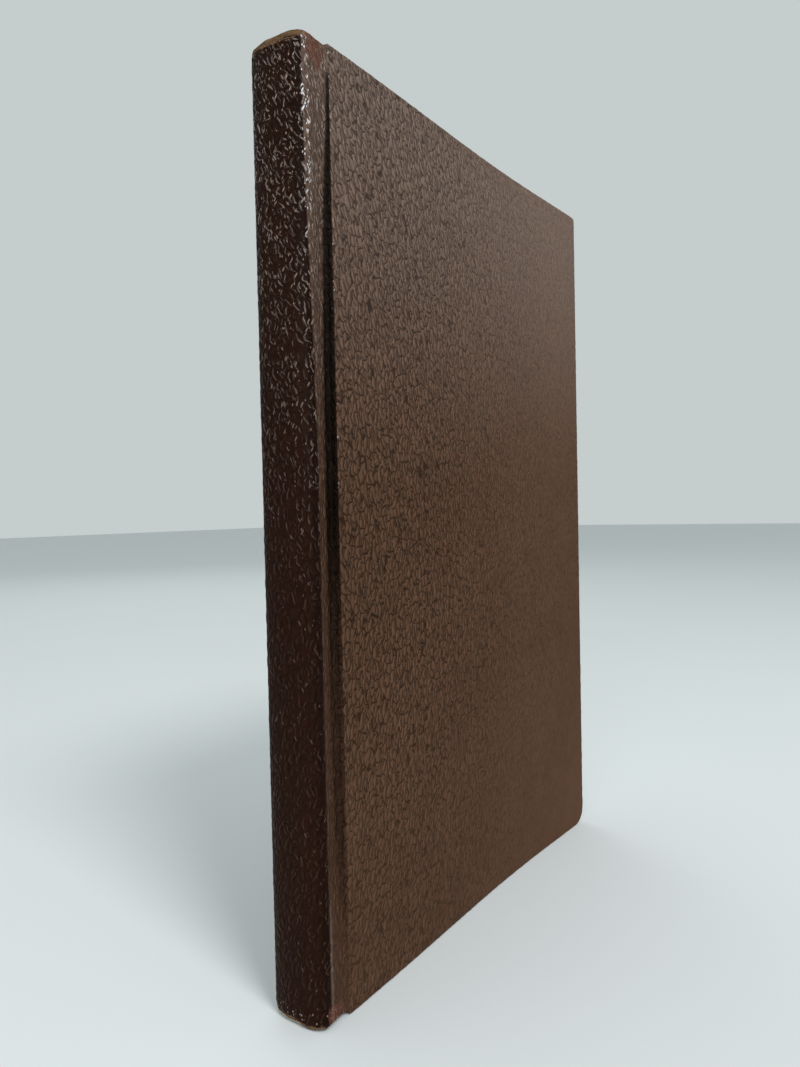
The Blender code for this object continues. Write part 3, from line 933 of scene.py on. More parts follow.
def endpaper_path():
    """The pasted half of an endpaper in X and W, from the fold to the board's fore-edge."""
    joint = np.linspace(0.25, 1, 12)
    span = BOARD_EDGE_X - STEP_ROUND - RIDGE_X
    depth = np.maximum(GROOVE * np.sin(joint * np.pi / 2) ** 1.5 + 0.5 * MM, 0.97 * MM)
    hug = list(zip(RIDGE_X + span * joint, HALF - depth))
    level = HALF - PASTE_DEPTH + 0.13 * MM
    line = [
        (FOLD_X - 0.12 * MM, TEXT_HALF + 0.2 * MM),
        (FOLD_X - 0.32 * MM, TEXT_HALF + 0.55 * MM),
        (RIDGE_X + 0.45 * MM, TEXT_HALF + 1.2 * MM),
        (RIDGE_X + 0.45 * MM, HALF - 1.5 * MM),
        (RIDGE_X + 0.7 * MM, HALF - 1.05 * MM),
        *hug,
        (BOARD_EDGE_X + 0.6 * MM, HALF - GROOVE - 0.8 * MM),
        (BOARD_EDGE_X + 1.5 * MM, level),
        (FORE_X - PASTE_MARGIN, level),
    ]
    return softened(even(line, 2600), 5)


def make_endpapers(context):
    """Each endpaper's pasted half, bent round the joint, and its flyleaf."""
    material = endpaper(context.scene.book_paper)
    line = endpaper_path()
    arc = np.r_[0, np.cumsum(np.linalg.norm(np.diff(line, axis=0), axis=1))]
    gaps = np.where(line[:, 0] < BOARD_EDGE_X + 2.5 * MM, 0.35 * MM, 2.2 * MM)
    drawn = np.r_[0, np.cumsum(np.diff(arc) / gaps[1:])]
    picks = np.interp(np.linspace(0, drawn[-1], int(drawn[-1])), drawn, np.arange(len(arc)))
    samples = np.arange(len(arc))
    out = outward(line)
    x, w, out_x, out_w = (np.interp(picks, samples, values) for values in (*line.T, *out.T))
    z = np.linspace(PASTE_MARGIN, HEIGHT - PASTE_MARGIN, 72)
    for word, side in (("front", -1), ("back", 1)):
        share = 1.0 if side < 0 else 0.0
        sunk = (w - dish(x, share))[:, None]
        over_flap = 0.07 * MM * flap_shadow(x[:, None], z[None, :])
        near = to_row_frame(
            (x + out_x * PASTEDOWN)[:, None],
            sunk + out_w[:, None] * PASTEDOWN - over_flap,
            z,
            side,
        )
        far = to_row_frame(x[:, None], sunk - over_flap, z, side)
        piece = closed_sheet(f"{word}_pastedown_paper", near, far)
        piece.data.materials.append(material)
        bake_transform(piece)
        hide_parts(f"{word}_pastedown")
        make_flyleaf(word, side, share, material)


def flap_shadow(x, z):
    """1 where a pastedown lies over the turned-in cloth and 0 on the bare board."""
    soft = 0.8 * MM
    right = smoothstep(x, FORE_X - TURN_IN - soft, FORE_X - TURN_IN + soft)
    ends = np.minimum(z, HEIGHT - z)
    across = 1 - smoothstep(ends, TURN_IN - soft, TURN_IN + soft)
    return np.maximum(right, across)


def make_flyleaf(word, side, share, material):
    """The free half of an endpaper."""
    root = FOLD_X + 0.02 * MM
    x = np.linspace(root, PAGE_X, 60)[:, None]
    z = np.linspace(TAIL_Z, HEAD_Z, 40)[None, :]
    wave = 0.03 * MM * np.sin(x / (9 * MM)) * np.sin(z / (14 * MM) + 1)
    sink = dish(x, share) + joint_room(x)
    face = to_row_frame(x, TEXT_HALF - 0.03 * MM - sink + wave, z, side)
    back = to_row_frame(x, TEXT_HALF - FLYLEAF + 0.03 * MM - sink + wave, z, side)
    piece = closed_sheet(f"{word}_flyleaf_paper", face, back)
    piece.data.materials.append(material)
    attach(piece, f"{word}_flyleaf")
    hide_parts(f"{word}_flyleaf")


# ---------------------------------------------------------------- sections of folded sheets
def sheets_tree():
    """A section: sheets folded one inside another, sunk with the front board."""
    maker, given = geometry_tree(
        "folded_sheets",
        {
            "Sheets": ("NodeSocketInt", 4),
            "Middle": ("NodeSocketFloat", 0.0),
            "Leaf": ("NodeSocketFloat", 0.07 * MM),
            "Half thickness": ("NodeSocketFloat", 0.4 * MM),
            "Jitter": ("NodeSocketFloat", 0.12 * MM),
            "Material": ("NodeSocketMaterial", None),
        },
    )
    line = point_line(maker, Count=given["Sheets"], Offset=(0.0, 0.0, 0.0))
    line = store(maker, line, "sheet", maker.add("GeometryNodeInputIndex"))
    grid = maker.add(
        "GeometryNodeMeshGrid",
        inputs={"Size X": 2.0, "Size Y": 1.0, "Vertices X": LEAF_STATIONS, "Vertices Y": LEAF_ROWS},
    )
    copies = shaped(maker, "InstanceOnPoints", Points=line, Instance=grid)
    sheets = maker.add("GeometryNodeRealizeInstances", inputs=[copies])

    sheet = named(maker, "sheet")
    t, v, _ = maker.parts(maker.add("GeometryNodeInputPosition"))
    half = given["Half thickness"]
    pitch = half / given["Sheets"]
    radius = half - pitch * (sheet + 0.5)
    fold = (t / FOLD_SHARE).math("MAXIMUM", -1.0).math("MINIMUM", 1.0) * (math.pi / 2)
    along = ((t.math("ABSOLUTE") - FOLD_SHARE) / (1 - FOLD_SHARE)).math("MAXIMUM", 0.0)
    seed = maker.joined(sheet, t.math("SIGN"), given["Middle"] * 1000.0)
    chance = maker.add("ShaderNodeTexWhiteNoise", {"noise_dimensions": "3D"}, [seed])
    leg = (PAGE_X - FOLD_X) - half - chance * given["Jitter"]
    x = FOLD_X + half - radius * fold.math("COSINE") + leg * along
    y = given["Middle"] + radius * fold.math("SINE")
    z = (v + 0.5) * (HEAD_Z - TAIL_Z) + TAIL_Z

    reach = ((x - BOARD_EDGE_X) / (FORE_X - BOARD_EDGE_X)).math("MAXIMUM", 0.0)
    hollow = ((reach**1.3) * math.pi).math("SINE").math("MAXIMUM", 0.0) ** 1.5
    share = (TEXT_HALF - y) / (2 * TEXT_HALF)
    sink = (hollow * DISH + reach * DISH_EDGE) * share
    beside = ((x - FOLD_X) / PINCH_REACH).math("MAXIMUM", 0.0).math("MINIMUM", 1.0)
    pinch = ((beside**0.75) * math.pi).math("SINE") * PINCH * (y / TEXT_HALF)
    where = maker.joined(x, y + sink - pinch, z)
    placed = shaped(maker, "SetPosition", Geometry=sheets, Position=where)
    extrude = {"Mesh": placed, "Offset Scale": given["Leaf"], "Individual": False}
    raised = maker.add("GeometryNodeExtrudeMesh", {"mode": "FACES"}, extrude)
    under = maker.add("GeometryNodeFlipFaces", inputs=[placed])
    both = maker.add("GeometryNodeJoinGeometry", inputs=[[raised, under]])
    whole = shaped(maker, "MergeByDistance", Geometry=both, Distance=1e-6)
    position = maker.add("GeometryNodeInputPosition")
    kept = store(maker, whole, "place", position, "FLOAT_VECTOR")
    return end_tree(maker, kept, given["Material"])


def make_sections(context):
    """The eight sections, each four folded sheets."""
    settings = context.scene.book_paper
    tree = sheets_tree()
    paper = page_paper(settings)
    for name in SECTIONS:
        low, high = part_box(name)
        middle, half = (low.y + high.y) / 2, (high.y - low.y) / 2
        piece = grow(
            seedling(name + "_leaves"),
            tree,
            sheets=settings.sheets,
            middle=middle,
            leaf=settings.leaf,
            half_thickness=half,
            material=paper,
        )
        smooth_edges(piece)
        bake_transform(piece)
        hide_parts(name)


# ---------------------------------------------------------------- spine linings
def bar(maker, count, start, offset, radius, length, rotation):
    """A row of thin six-sided threads."""
    line = point_line(maker, Count=count, Start_Location=start, Offset=offset)
    thread = shaped(maker, "MeshCylinder", Vertices=6, Radius=radius, Depth=length)
    turned = shaped(maker, "Transform", Geometry=thread, Rotation=rotation)
    return shaped(maker, "InstanceOnPoints", Points=line, Instance=turned)


def gauze_tree(low, high):
    """Open gauze: long threads up the spine, crossed by short ones."""
    maker, given = geometry_tree(
        "open_gauze",
        {
            "Long threads": ("NodeSocketInt", 12),
            "Cross threads": ("NodeSocketInt", 277),
            "Thread": ("NodeSocketFloat", 0.065 * MM),
            "Material": ("NodeSocketMaterial", None),
        },
    )
    middle_x, middle_z = (low.x + high.x) / 2, (low.z + high.z) / 2
    wide, tall = high.y - low.y, high.z - low.z
    edge = 0.1 * MM
    y_step = (wide - 2 * edge) / (given["Long threads"] - 1.0)
    z_step = (tall - 2 * edge) / (given["Cross threads"] - 1.0)
    lift = 0.055 * MM
    count, start = given["Long threads"], (middle_x - lift, low.y + edge, middle_z)
    step = maker.joined(0.0, y_step, 0.0)
    longs = bar(maker, count, start, step, given["Thread"], tall, (0.0, 0.0, 0.0))
    count, start = given["Cross threads"], (middle_x + lift, 0.0, low.z + edge)
    step = maker.joined(0.0, 0.0, z_step)
    crosses = bar(maker, count, start, step, given["Thread"], wide, (math.pi / 2, 0.0, 0.0))
    both = maker.add("GeometryNodeJoinGeometry", inputs=[[longs, crosses]])
    return end_tree(maker, both, given["Material"])


def make_gauze(context):
    """The mull glued over the folds."""
    low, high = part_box("mull")
    pitch = context.scene.book_spine.mesh_pitch
    piece = grow(
        seedling("mull_gauze"),
        gauze_tree(low, high),
        long_threads=round((high.y - low.y) / pitch),
        cross_threads=round((high.z - low.z) / pitch),
        material=gauze_cotton(),
    )
    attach(piece, "spine")
    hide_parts("mull")


def wound_band_tree():
    """A headband: silk wrapped round a core, on a tape glued down over the folds."""
    maker, given = geometry_tree(
        "wound_band",
        {
            "Wraps": ("NodeSocketInt", 24),
            "Wrap width": ("NodeSocketFloat", 0.29 * MM),
            "Core": ("NodeSocketFloat", 0.36 * MM),
            "Bead": ("NodeSocketVector", None),
            "Tape size": ("NodeSocketVector", None),
            "Tape middle": ("NodeSocketVector", None),
            "Material": ("NodeSocketMaterial", None),
        },
    )
    width = given["Wrap width"]
    first = (given["Wraps"] - 1.0) * width * -0.5
    start = maker.vector("ADD", given["Bead"], maker.joined(0.0, first, 0.0))
    step = maker.joined(0.0, width, 0.0)
    line = point_line(maker, Count=given["Wraps"], Start_Location=start, Offset=step)
    turn = (maker.add("GeometryNodeInputIndex") / 3.0).math("FLOOR").math("MODULO", 2.0)
    line = store(maker, line, "dark", turn)
    loop = shaped(maker, "CurvePrimitiveCircle", Resolution=14, Radius=given["Core"])
    strand = shaped(maker, "CurvePrimitiveCircle", Resolution=6, Radius=width * 0.52)
    wrap = shaped(maker, "CurveToMesh", Curve=loop, Profile_Curve=strand)
    wrap = shaped(maker, "Transform", Geometry=wrap, Rotation=(math.pi / 2, WRAP_LEAN, 0.0))
    wraps = shaped(maker, "InstanceOnPoints", Points=line, Instance=wrap)
    length = given["Wraps"] * width
    core = shaped(maker, "MeshCylinder", Vertices=16, Radius=given["Core"], Depth=length)
    lying = (math.pi / 2, 0.0, 0.0)
    core = shaped(maker, "Transform", Geometry=core, Rotation=lying, Translation=given["Bead"])
    tape = shaped(maker, "MeshCube", Size=given["Tape size"])
    tape = shaped(maker, "Transform", Geometry=tape, Translation=given["Tape middle"])
    parts = maker.add("GeometryNodeJoinGeometry", inputs=[[wraps, core, tape]])
    return end_tree(maker, parts, given["Material"])


def make_headbands(context):
    """The worked bands at head and tail."""
    settings = context.scene.book_spine
    tree = wound_band_tree()
    silk = band_silk(settings)
    tape_thick, bead_radius = TAPE, BEAD / 2
    for name, up in (("headband", 1), ("tailband", -1)):
        low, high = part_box(name)
        tape_x = low.x + tape_thick / 2 + 0.02 * MM
        bead_x = high.x - bead_radius
        bead_z = high.z - bead_radius if up > 0 else low.z + bead_radius
        tape_end = low.z if up > 0 else high.z
        wide = high.y - low.y
        piece = grow(
            seedling(name + "_silk"),
            tree,
            wraps=int(wide / settings.band_wrap),
            wrap_width=settings.band_wrap,
            bead=(bead_x, 0.0, bead_z),
            tape_size=(tape_thick, wide - 0.3 * MM, abs(bead_z - tape_end)),
            tape_middle=(tape_x, 0.0, (bead_z + tape_end) / 2),
            material=silk,
        )
        smooth_edges(piece)
        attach(piece, "spine")
        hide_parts(name)


def make_linings(context):
    """Finishes for the spine card, the paper lining and the sewing thread, whose shapes stay."""
    for name, finish in (
        ("spine_inlay", spine_card()),
        ("back_lining", kraft_paper()),
        ("sewing_thread", linen_thread()),
    ):
        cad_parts[name].data.materials.clear()
        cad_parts[name].data.materials.append(finish)


# ---------------------------------------------------------------- finishes
def leathercloth(settings):
    """Grained, coated bookcloth: matt boards, a darker spine partly darkened as painted shade, worn
    ends and edges, and painted sheen, glints and shade.
    """
    made, maker, node = shader("brown_leathercloth")
    place, span = stored(maker, "place"), stored(maker, "span")
    x, y, z = maker.parts(place)
    from_head = HEIGHT - z
    edge = pebble_edge(maker, span, 1 / settings.cell)
    # the grain a little to one side, to paint light and shade beside each crease
    beside = maker.vector("ADD", span, (0.26 * MM, 0.1 * MM, 0.0))
    slope = pebble_edge(maker, beside, 1 / settings.cell) - edge
    domes = domes_of(maker, edge)
    # how far round the corner of the spine: below nought on the spine, above it on the joint
    turn = (x - RIDGE_X) - (HALF - y.math("ABSOLUTE"))
    # towards the head the joint's colour reaches round onto the spine's curve; past this line the
    # spine's dark colour, partly painted shade, begins
    corner = 0.3 * MM - maker.ramp(z, 0.55 * HEIGHT, 0.95 * HEIGHT) * (2.0 * MM)
    spine = maker.ramp(turn - corner, 0.25 * MM, -0.25 * MM)
    board = maker.ramp(x, BOARD_EDGE_X - 0.3 * MM, BOARD_EDGE_X + 0.1 * MM)
    front = maker.ramp(y, -2 * MM, -4 * MM)
    broad = maker.noise(place, 38 * MM, 3.0, 0.55)
    mottle = maker.noise(place, 4 * MM, 3.0, 0.6)
    fine = maker.noise(place, 0.3 * MM, 2.0, 0.6)
    strokes = maker.ramp(maker.noise(span, 1.5 * MM, 2.0), 0.33, 0.48)

    # the spine's cloth is darker, partly as painted shade on the spine's shaded side
    color = maker.mix(spine, opaque(settings.joint_color), opaque(settings.spine_color))
    color = maker.mix(board, color, opaque(settings.board_color))
    color = maker.shade(color, 0.62 + broad * 0.42 + mottle * 0.34)
    # a pale grey haze over the upper half, in the hollows as on the tops: dust, and painted sheen
    # towards the head
    dust_and_sheen = maker.ramp(z, 0.5 * HEIGHT, 1.02 * HEIGHT) * (1.0 - spine) * (0.6 + board * 0.4)
    color = maker.mix(dust_and_sheen * 0.35, color, (0.245, 0.195, 0.17, 1))
    # the grain grows fainter towards the fore-edge and the tail
    quiet = 1.0 - maker.ramp(x, -0.6 * FORE_X, FORE_X) * 0.7
    quiet = quiet - maker.ramp(z, 0.4 * HEIGHT, 0.0) * 0.3
    # painted shade in the creases of the grain
    crease = maker.ramp(edge, 0.11, 0.03) * strokes
    color = maker.shade(color, 1.0 - crease * quiet * (0.35 + 0.37 * board))
    # painted light and shade beside each crease: paler on one side and darker on the other, as if
    # lit from one side
    painted_relief = maker.ramp(slope, 0.03, 0.2) * 0.35 - maker.ramp(slope, -0.05, -0.17) * 0.6
    color = maker.shade(color, 1.12 + painted_relief * quiet)
    # painted shade on the spine, darkest near its corner with the joint
    near_corner = maker.ramp(turn - corner, -5.0 * MM, -0.5 * MM) * spine
    color = maker.shade(color, 1.0 - near_corner * 0.4)

    # painted highlights: pale arcs on one side of the creases and short glints, more of them
    # towards the head and on the ridge's flank
    lit_rims = maker.near(edge - 0.13, 0.09, 0.02) * maker.ramp(slope, 0.0, 0.1)
    patch = maker.ramp(maker.noise(span, 3.4 * MM, 3.0, 0.6), 0.36, 0.6)
    arc_highlights = lit_rims * patch * (1.0 - board)
    high = maker.ramp(z, 0.35 * HEIGHT, 0.98 * HEIGHT)
    flank = maker.near(turn + 0.8 * MM, 1.5 * MM, 0.8 * MM) * front
    flank = flank * maker.ramp(z, 0.72 * HEIGHT, 0.93 * HEIGHT)
    highlight_color = maker.mix(high, (0.085, 0.05, 0.033, 1), (0.36, 0.3, 0.26, 1))
    color = maker.mix(arc_highlights * (0.5 + 0.25 * high), color, highlight_color)
    glint_density = (1.0 - board) * (0.05 + 0.24 * high + 0.5 * flank)
    share = glint_density * maker.ramp(broad + mottle * 0.3, 0.4, 0.72) * 1.3
    leaning = dabs(maker, span, 1.05, 2.1 * MM, 0.6 * MM, share)
    upright = dabs(maker, span, 2.05, 1.9 * MM, 0.62 * MM, share)
    tiny = dabs(maker, span, 1.5, 0.9 * MM, 0.5 * MM, share * 0.7 + 0.012 * board)
    glints = leaning.math("MAXIMUM", upright * 0.8).math("MAXIMUM", tiny)
    pale = maker.mix(flank, (0.3, 0.23, 0.19, 1), (0.85, 0.85, 0.88, 1))
    color = maker.mix(glints * (0.2 + 0.5 * high), color, pale)

    # painted glints on the board's edge beside the groove, towards the head
    shoulder = maker.near(x - (BOARD_EDGE_X + 0.35 * MM), 0.5 * MM, 0.2 * MM)
    shoulder = shoulder * dabs(maker, span, 1.4, 0.9 * MM, 0.6 * MM, high * 0.75)
    color = maker.mix(shoulder * 0.6, color, (0.5, 0.46, 0.43, 1))

    # the coating has worn through at both ends of the spine and down one line of the joint
    behind = maker.ramp(x, BOARD_EDGE_X + 0.5 * MM, BOARD_EDGE_X - 2.0 * MM)
    rough_edge = (mottle - 0.5) * 1.5 + (fine - 0.5) * 0.7
    tan_share = maker.ramp(from_head, 3.6 * MM, 0.4 * MM) + maker.ramp(z, 2.4 * MM, 0.3 * MM)
    frayed = maker.noise(maker.vector("MULTIPLY", place, (1.0, 0.35, 3.0)), 1.2 * MM, 2.0)
    tan = maker.ramp(tan_share + rough_edge * 0.8 + (frayed - 0.5) * 1.2, 0.45, 0.8) * behind
    near_ridge = maker.near(turn - 1.8 * MM, 3.8 * MM, 1.2 * MM)
    red_share = maker.ramp(from_head, 11 * MM, 3.5 * MM) + maker.ramp(z, 6.0 * MM, 3.0 * MM) * 1.2
    red = maker.ramp(red_share * near_ridge * front + rough_edge * 0.7, 0.52, 0.74)
    wobble = (mottle - 0.5) * (0.8 * MM)
    track = maker.near(turn - 0.8 * MM + wobble, 0.5 * MM, 0.12 * MM) * front
    track_share = maker.ramp(from_head, 26 * MM, 9 * MM) + maker.ramp(z, 40 * MM, 16 * MM)
    stitches = dabs(maker, span, 1.57, 1.1 * MM, 0.9 * MM, 0.8)
    track = track * maker.ramp(track_share * 0.6 + rough_edge * 0.6, 0.3, 0.6)
    track = track * (0.3 + 0.7 * stitches)
    u, v, _ = maker.parts(span)
    weave = maker.sine(u, 0.44 * MM) * maker.sine(v, 0.44 * MM)
    bare = maker.mix(mottle, opaque(settings.worn_color), (0.11, 0.078, 0.034, 1))
    streaks = maker.ramp(frayed, 0.52, 0.66) * maker.ramp(fine, 0.35, 0.6)
    bare = maker.mix(streaks * 0.7, bare, (0.3, 0.15, 0.105, 1))
    bare = maker.shade(bare, weave * 0.2 + fine * 0.9 + frayed * 0.6)
    ruddy = maker.mix(fine, opaque(settings.thread_color), (0.16, 0.075, 0.05, 1))
    ruddy = maker.shade(ruddy, 0.25 + weave * 0.3 + fine * 0.5 + frayed * 0.4)
    color = maker.mix(red * 0.65, color, ruddy)
    color = maker.mix(tan, color, maker.mix(red * 0.5, bare, ruddy))
    low_end = maker.ramp(z, 60 * MM, 40 * MM)
    specks = maker.near(z - 2.4 * MM, 1.6 * MM, 0.6 * MM) * behind
    worn_joint = maker.ramp(z, 4.6 * MM, 2.2 * MM) * maker.ramp(turn, 0.0, 0.8 * MM) * behind
    specks = specks.math("MAXIMUM", worn_joint)
    specks = specks * dabs(maker, span, 1.57, 0.9 * MM, 0.55 * MM, 0.6)
    color = maker.mix(specks * 0.65, color, (0.42, 0.29, 0.24, 1))
    color = maker.mix(track * 0.6, color, maker.mix(low_end, ruddy, (0.3, 0.23, 0.18, 1)))

    # board edges rubbed paler, with small chips at the corners
    fore_rim = maker.near(x - FORE_X, 0.9 * MM, 0.1 * MM)
    end_rims = maker.near(z - HEIGHT / 2, HEIGHT / 2 - 0.8 * MM, HEIGHT / 2 - 0.05 * MM)
    rims = fore_rim.math("MAXIMUM", end_rims * board)
    chips = maker.ramp(rims + rough_edge * 0.55, 0.78, 1.02)
    color = maker.mix(rims * 0.22, color, (0.15, 0.1, 0.075, 1))
    color = maker.mix(chips * 0.6, color, (0.25, 0.17, 0.12, 1))

    # faint scuffs drawn across the boards
    drawn = maker.vector("MULTIPLY", place, (0.3, 1.0, 4.0))
    scuffs = maker.ramp(maker.noise(drawn, 3.4 * MM, 3.0, 0.65), 0.68, 0.8) * board
    color = maker.mix(scuffs * 0.3, color, (0.016, 0.01, 0.007, 1))

    # painted shade in the deep groove where the joint meets the board, and a thin dark line of it
    # towards the head
    depth = maker.ramp(z, 0.98 * HEIGHT, 0.5 * HEIGHT) * maker.ramp(z, 0.0, 0.35 * HEIGHT)
    reach = depth * (2.3 * MM) + 0.65 * MM
    before = (BOARD_EDGE_X + 0.25 * MM) - x
    crevice = maker.ramp(before / reach, 1.0, 0.4) * maker.ramp(before, -0.3 * MM, 0.0)
    crevice = crevice * maker.ramp(z, 0.0, 40 * MM) * maker.ramp(from_head, 4 * MM, 7 * MM)
    darker = 0.5 + maker.ramp(z, 0.28 * HEIGHT, 0.55 * HEIGHT) * 0.4
    color = maker.shade(color, 1.0 - crevice * darker)

    rough = 0.6 - (1.0 - board) * 0.2 + crease * 0.1 + (mottle - 0.5) * 0.2
    rough = rough + (tan + red * 0.5) * 0.3 - glints * 0.2
    shine = (1.0 - board) * (1.0 - tan) * (1.0 - red * 0.7) * 0.03
    connect(
        maker,
        node,
        Base_Color=color,
        Roughness=rough,
        Coat_Weight=shine,
        Coat_Roughness=0.3,
        Specular_IOR_Level=0.02,
    )
    height = domes * quiet * (0.17 * MM) + fine * (0.022 * MM) + glints * (0.03 * MM)
    height = height + tan.math("MAXIMUM", red) * weave * (0.04 * MM) + mottle * (0.05 * MM)
    relief(maker, node, height)
    return made


def long_fibers(maker, place, squeeze, size, detail, roughness):
    """Fibres drawn out up the book: the smaller squeeze is, the longer they are."""
    drawn = maker.vector("MULTIPLY", place, (1.0, 1.0, squeeze))
    return maker.noise(drawn, size, detail, roughness)


def greyboard():
    made, maker, node = shader("greyboard")
    place = object_place(maker)
    fibers = long_fibers(maker, place, 0.3, 0.7 * MM, 4.0, 0.7)
    fleck = maker.ramp(maker.noise(place, 0.5 * MM, 1.0), 0.66, 0.74)
    color = maker.mix(fibers, (0.24, 0.215, 0.18, 1), (0.42, 0.385, 0.33, 1))
    color = maker.mix(fleck * 0.5, color, (0.12, 0.1, 0.08, 1))
    connect(maker, node, Base_Color=color, Roughness=0.93 - fibers * 0.08)
    relief(maker, node, fibers * (0.03 * MM))
    return made


def paper_edges(maker, place):
    """1 at the head, tail and fore-edge of a leaf, fading inwards."""
    x, _, z = maker.parts(place)
    fore = maker.ramp(x, PAGE_X - 14 * MM, PAGE_X)
    ends = maker.ramp(z, HEAD_Z - 12 * MM, HEAD_Z) + maker.ramp(z, TAIL_Z + 12 * MM, TAIL_Z)
    return fore.math("MAXIMUM", ends)


def page_paper(settings):
    made, maker, node = shader("page_paper")
    place = stored(maker, "place")
    edges = paper_edges(maker, place)
    cloud = maker.noise(place, 22 * MM, 3.0, 0.6)
    fibers = maker.noise(place, 0.6 * MM, 3.0, 0.7)
    foxed = maker.ramp(maker.noise(place, 4.5 * MM, 2.0, 0.6), 0.68, 0.8)
    aged = (edges * edges * 0.75 + cloud * 0.16).math("MINIMUM", 1.0)
    color = maker.mix(aged, opaque(settings.page_color), opaque(settings.edge_color))
    color = maker.shade(color, 0.95 + fibers * 0.08)
    color = maker.mix(foxed * 0.28, color, (0.42, 0.25, 0.12, 1))
    connect(maker, node, Base_Color=color, Roughness=0.86 + fibers * 0.08)
    relief(maker, node, fibers * (0.012 * MM) + cloud * (0.03 * MM))
    return made


def endpaper(settings):
    made, maker, node = shader("laid_endpaper")
    place = stored(maker, "place")
    x, _, z = maker.parts(place)
    edges = paper_edges(maker, place)
    cloud = maker.noise(place, 26 * MM, 3.0, 0.6)
    fibers = maker.noise(place, 0.7 * MM, 3.0, 0.7)
    laid = maker.sine(z, 1.1 * MM) * 0.5 + 0.5
    chain = maker.near(maker.sine(x, 48 * MM), 0.05, 0.0)
    aged = (edges * 0.5 + cloud * 0.3).math("MINIMUM", 1.0)
    color = maker.mix(aged, opaque(settings.endpaper_color), opaque(settings.edge_color))
    color = maker.shade(color, 0.93 + laid * 0.035 + fibers * 0.07 - chain * 0.04)
    connect(maker, node, Base_Color=color, Roughness=0.84 + fibers * 0.08)
    relief(maker, node, laid * (0.008 * MM) + fibers * (0.014 * MM))
    return made


def spine_card():
    made, maker, node = shader("spine_card")
    place = object_place(maker)
    fibers = long_fibers(maker, place, 0.25, 0.8 * MM, 3.0, 0.7)
    color = maker.mix(fibers, (0.40, 0.33, 0.235, 1), (0.56, 0.48, 0.36, 1))
    connect(maker, node, Base_Color=color, Roughness=0.82 + fibers * 0.1)
    relief(maker, node, fibers * (0.02 * MM))
    return made


def kraft_paper():
    made, maker, node = shader("kraft_lining")
    place = object_place(maker)
    fibers = long_fibers(maker, place, 0.2, 0.6 * MM, 4.0, 0.75)
    blots = maker.ramp(maker.noise(place, 6 * MM, 2.0), 0.5, 0.7)
    color = maker.mix(fibers, (0.30, 0.19, 0.10, 1), (0.50, 0.35, 0.20, 1))
    color = maker.mix(blots * 0.35, color, (0.26, 0.17, 0.09, 1))
    connect(maker, node, Base_Color=color, Roughness=0.84 - blots * 0.25)
    relief(maker, node, fibers * (0.02 * MM))
    return made


def linen_thread():
    made, maker, node = shader("linen_thread")
    place = object_place(maker)
    x, y, z = maker.parts(place)
    twist = maker.sine(z + x * 1.5 + y * 1.5, 0.55 * MM) * 0.5 + 0.5
    fuzz = maker.noise(place, 0.12 * MM, 2.0)
    # darker in the low part of each twist, where the relief sinks: painted shade between the plies
    color = maker.mix(twist, (0.52, 0.45, 0.32, 1), (0.80, 0.73, 0.58, 1))
    color = maker.shade(color, 0.85 + fuzz * 0.3)
    connect(maker, node, Base_Color=color, Roughness=0.62 + fuzz * 0.2)
    relief(maker, node, twist * (0.05 * MM) + fuzz * (0.01 * MM))
    return made


def gauze_cotton():
    made, maker, node = shader("mull_gauze")
    place = object_place(maker)
    fuzz = maker.noise(place, 0.15 * MM, 3.0)
    glue = maker.ramp(maker.noise(place, 5 * MM, 2.0), 0.45, 0.65)
    color = maker.mix(fuzz, (0.60, 0.56, 0.46, 1), (0.84, 0.81, 0.71, 1))
    color = maker.mix(glue * 0.5, color, (0.50, 0.38, 0.22, 1))
    connect(maker, node, Base_Color=color, Roughness=0.9 - glue * 0.3)
    relief(maker, node, fuzz * (0.015 * MM))
    return made


def band_silk(settings):
    made, maker, node = shader("headband_silk")
    place = object_place(maker)
    x, y, z = maker.parts(place)
    twist = maker.sine(x + z - y * 2.0, 0.16 * MM) * 0.5 + 0.5
    dark = maker.parts(stored(maker, "dark"))[0]
    color = maker.mix(dark, opaque(settings.light_silk), opaque(settings.dark_silk))
    # darker in the low part of each twist, where the relief sinks: painted shade
    color = maker.shade(color, 0.75 + twist * 0.35)
    connect(maker, node, Base_Color=color, Roughness=0.42 + twist * 0.15)
    relief(maker, node, twist * (0.02 * MM))
    return made


def floor_finish(settings):
    made, maker, node = shader("pale_floor")
    cloud = maker.noise(object_place(maker), 90 * MM, 3.0, 0.5)
    color = maker.shade(tuple(settings.floor_color), 0.985 + cloud * 0.03)
    connect(maker, node, Base_Color=color, Roughness=0.7)
    return made


# ---------------------------------------------------------------- stage
def area_light(name, place, target, size, power):
    data = bpy.data.lights.new(name, "AREA")
    data.shape = "DISK"
    data.size = size
    data.energy = power
    lamp = bpy.data.objects.new(name, data)
    bpy.context.scene.collection.objects.link(lamp)
    lamp.location = place
    lamp.rotation_euler = (Vector(target) - Vector(place)).to_track_quat("-Z", "Y").to_euler()


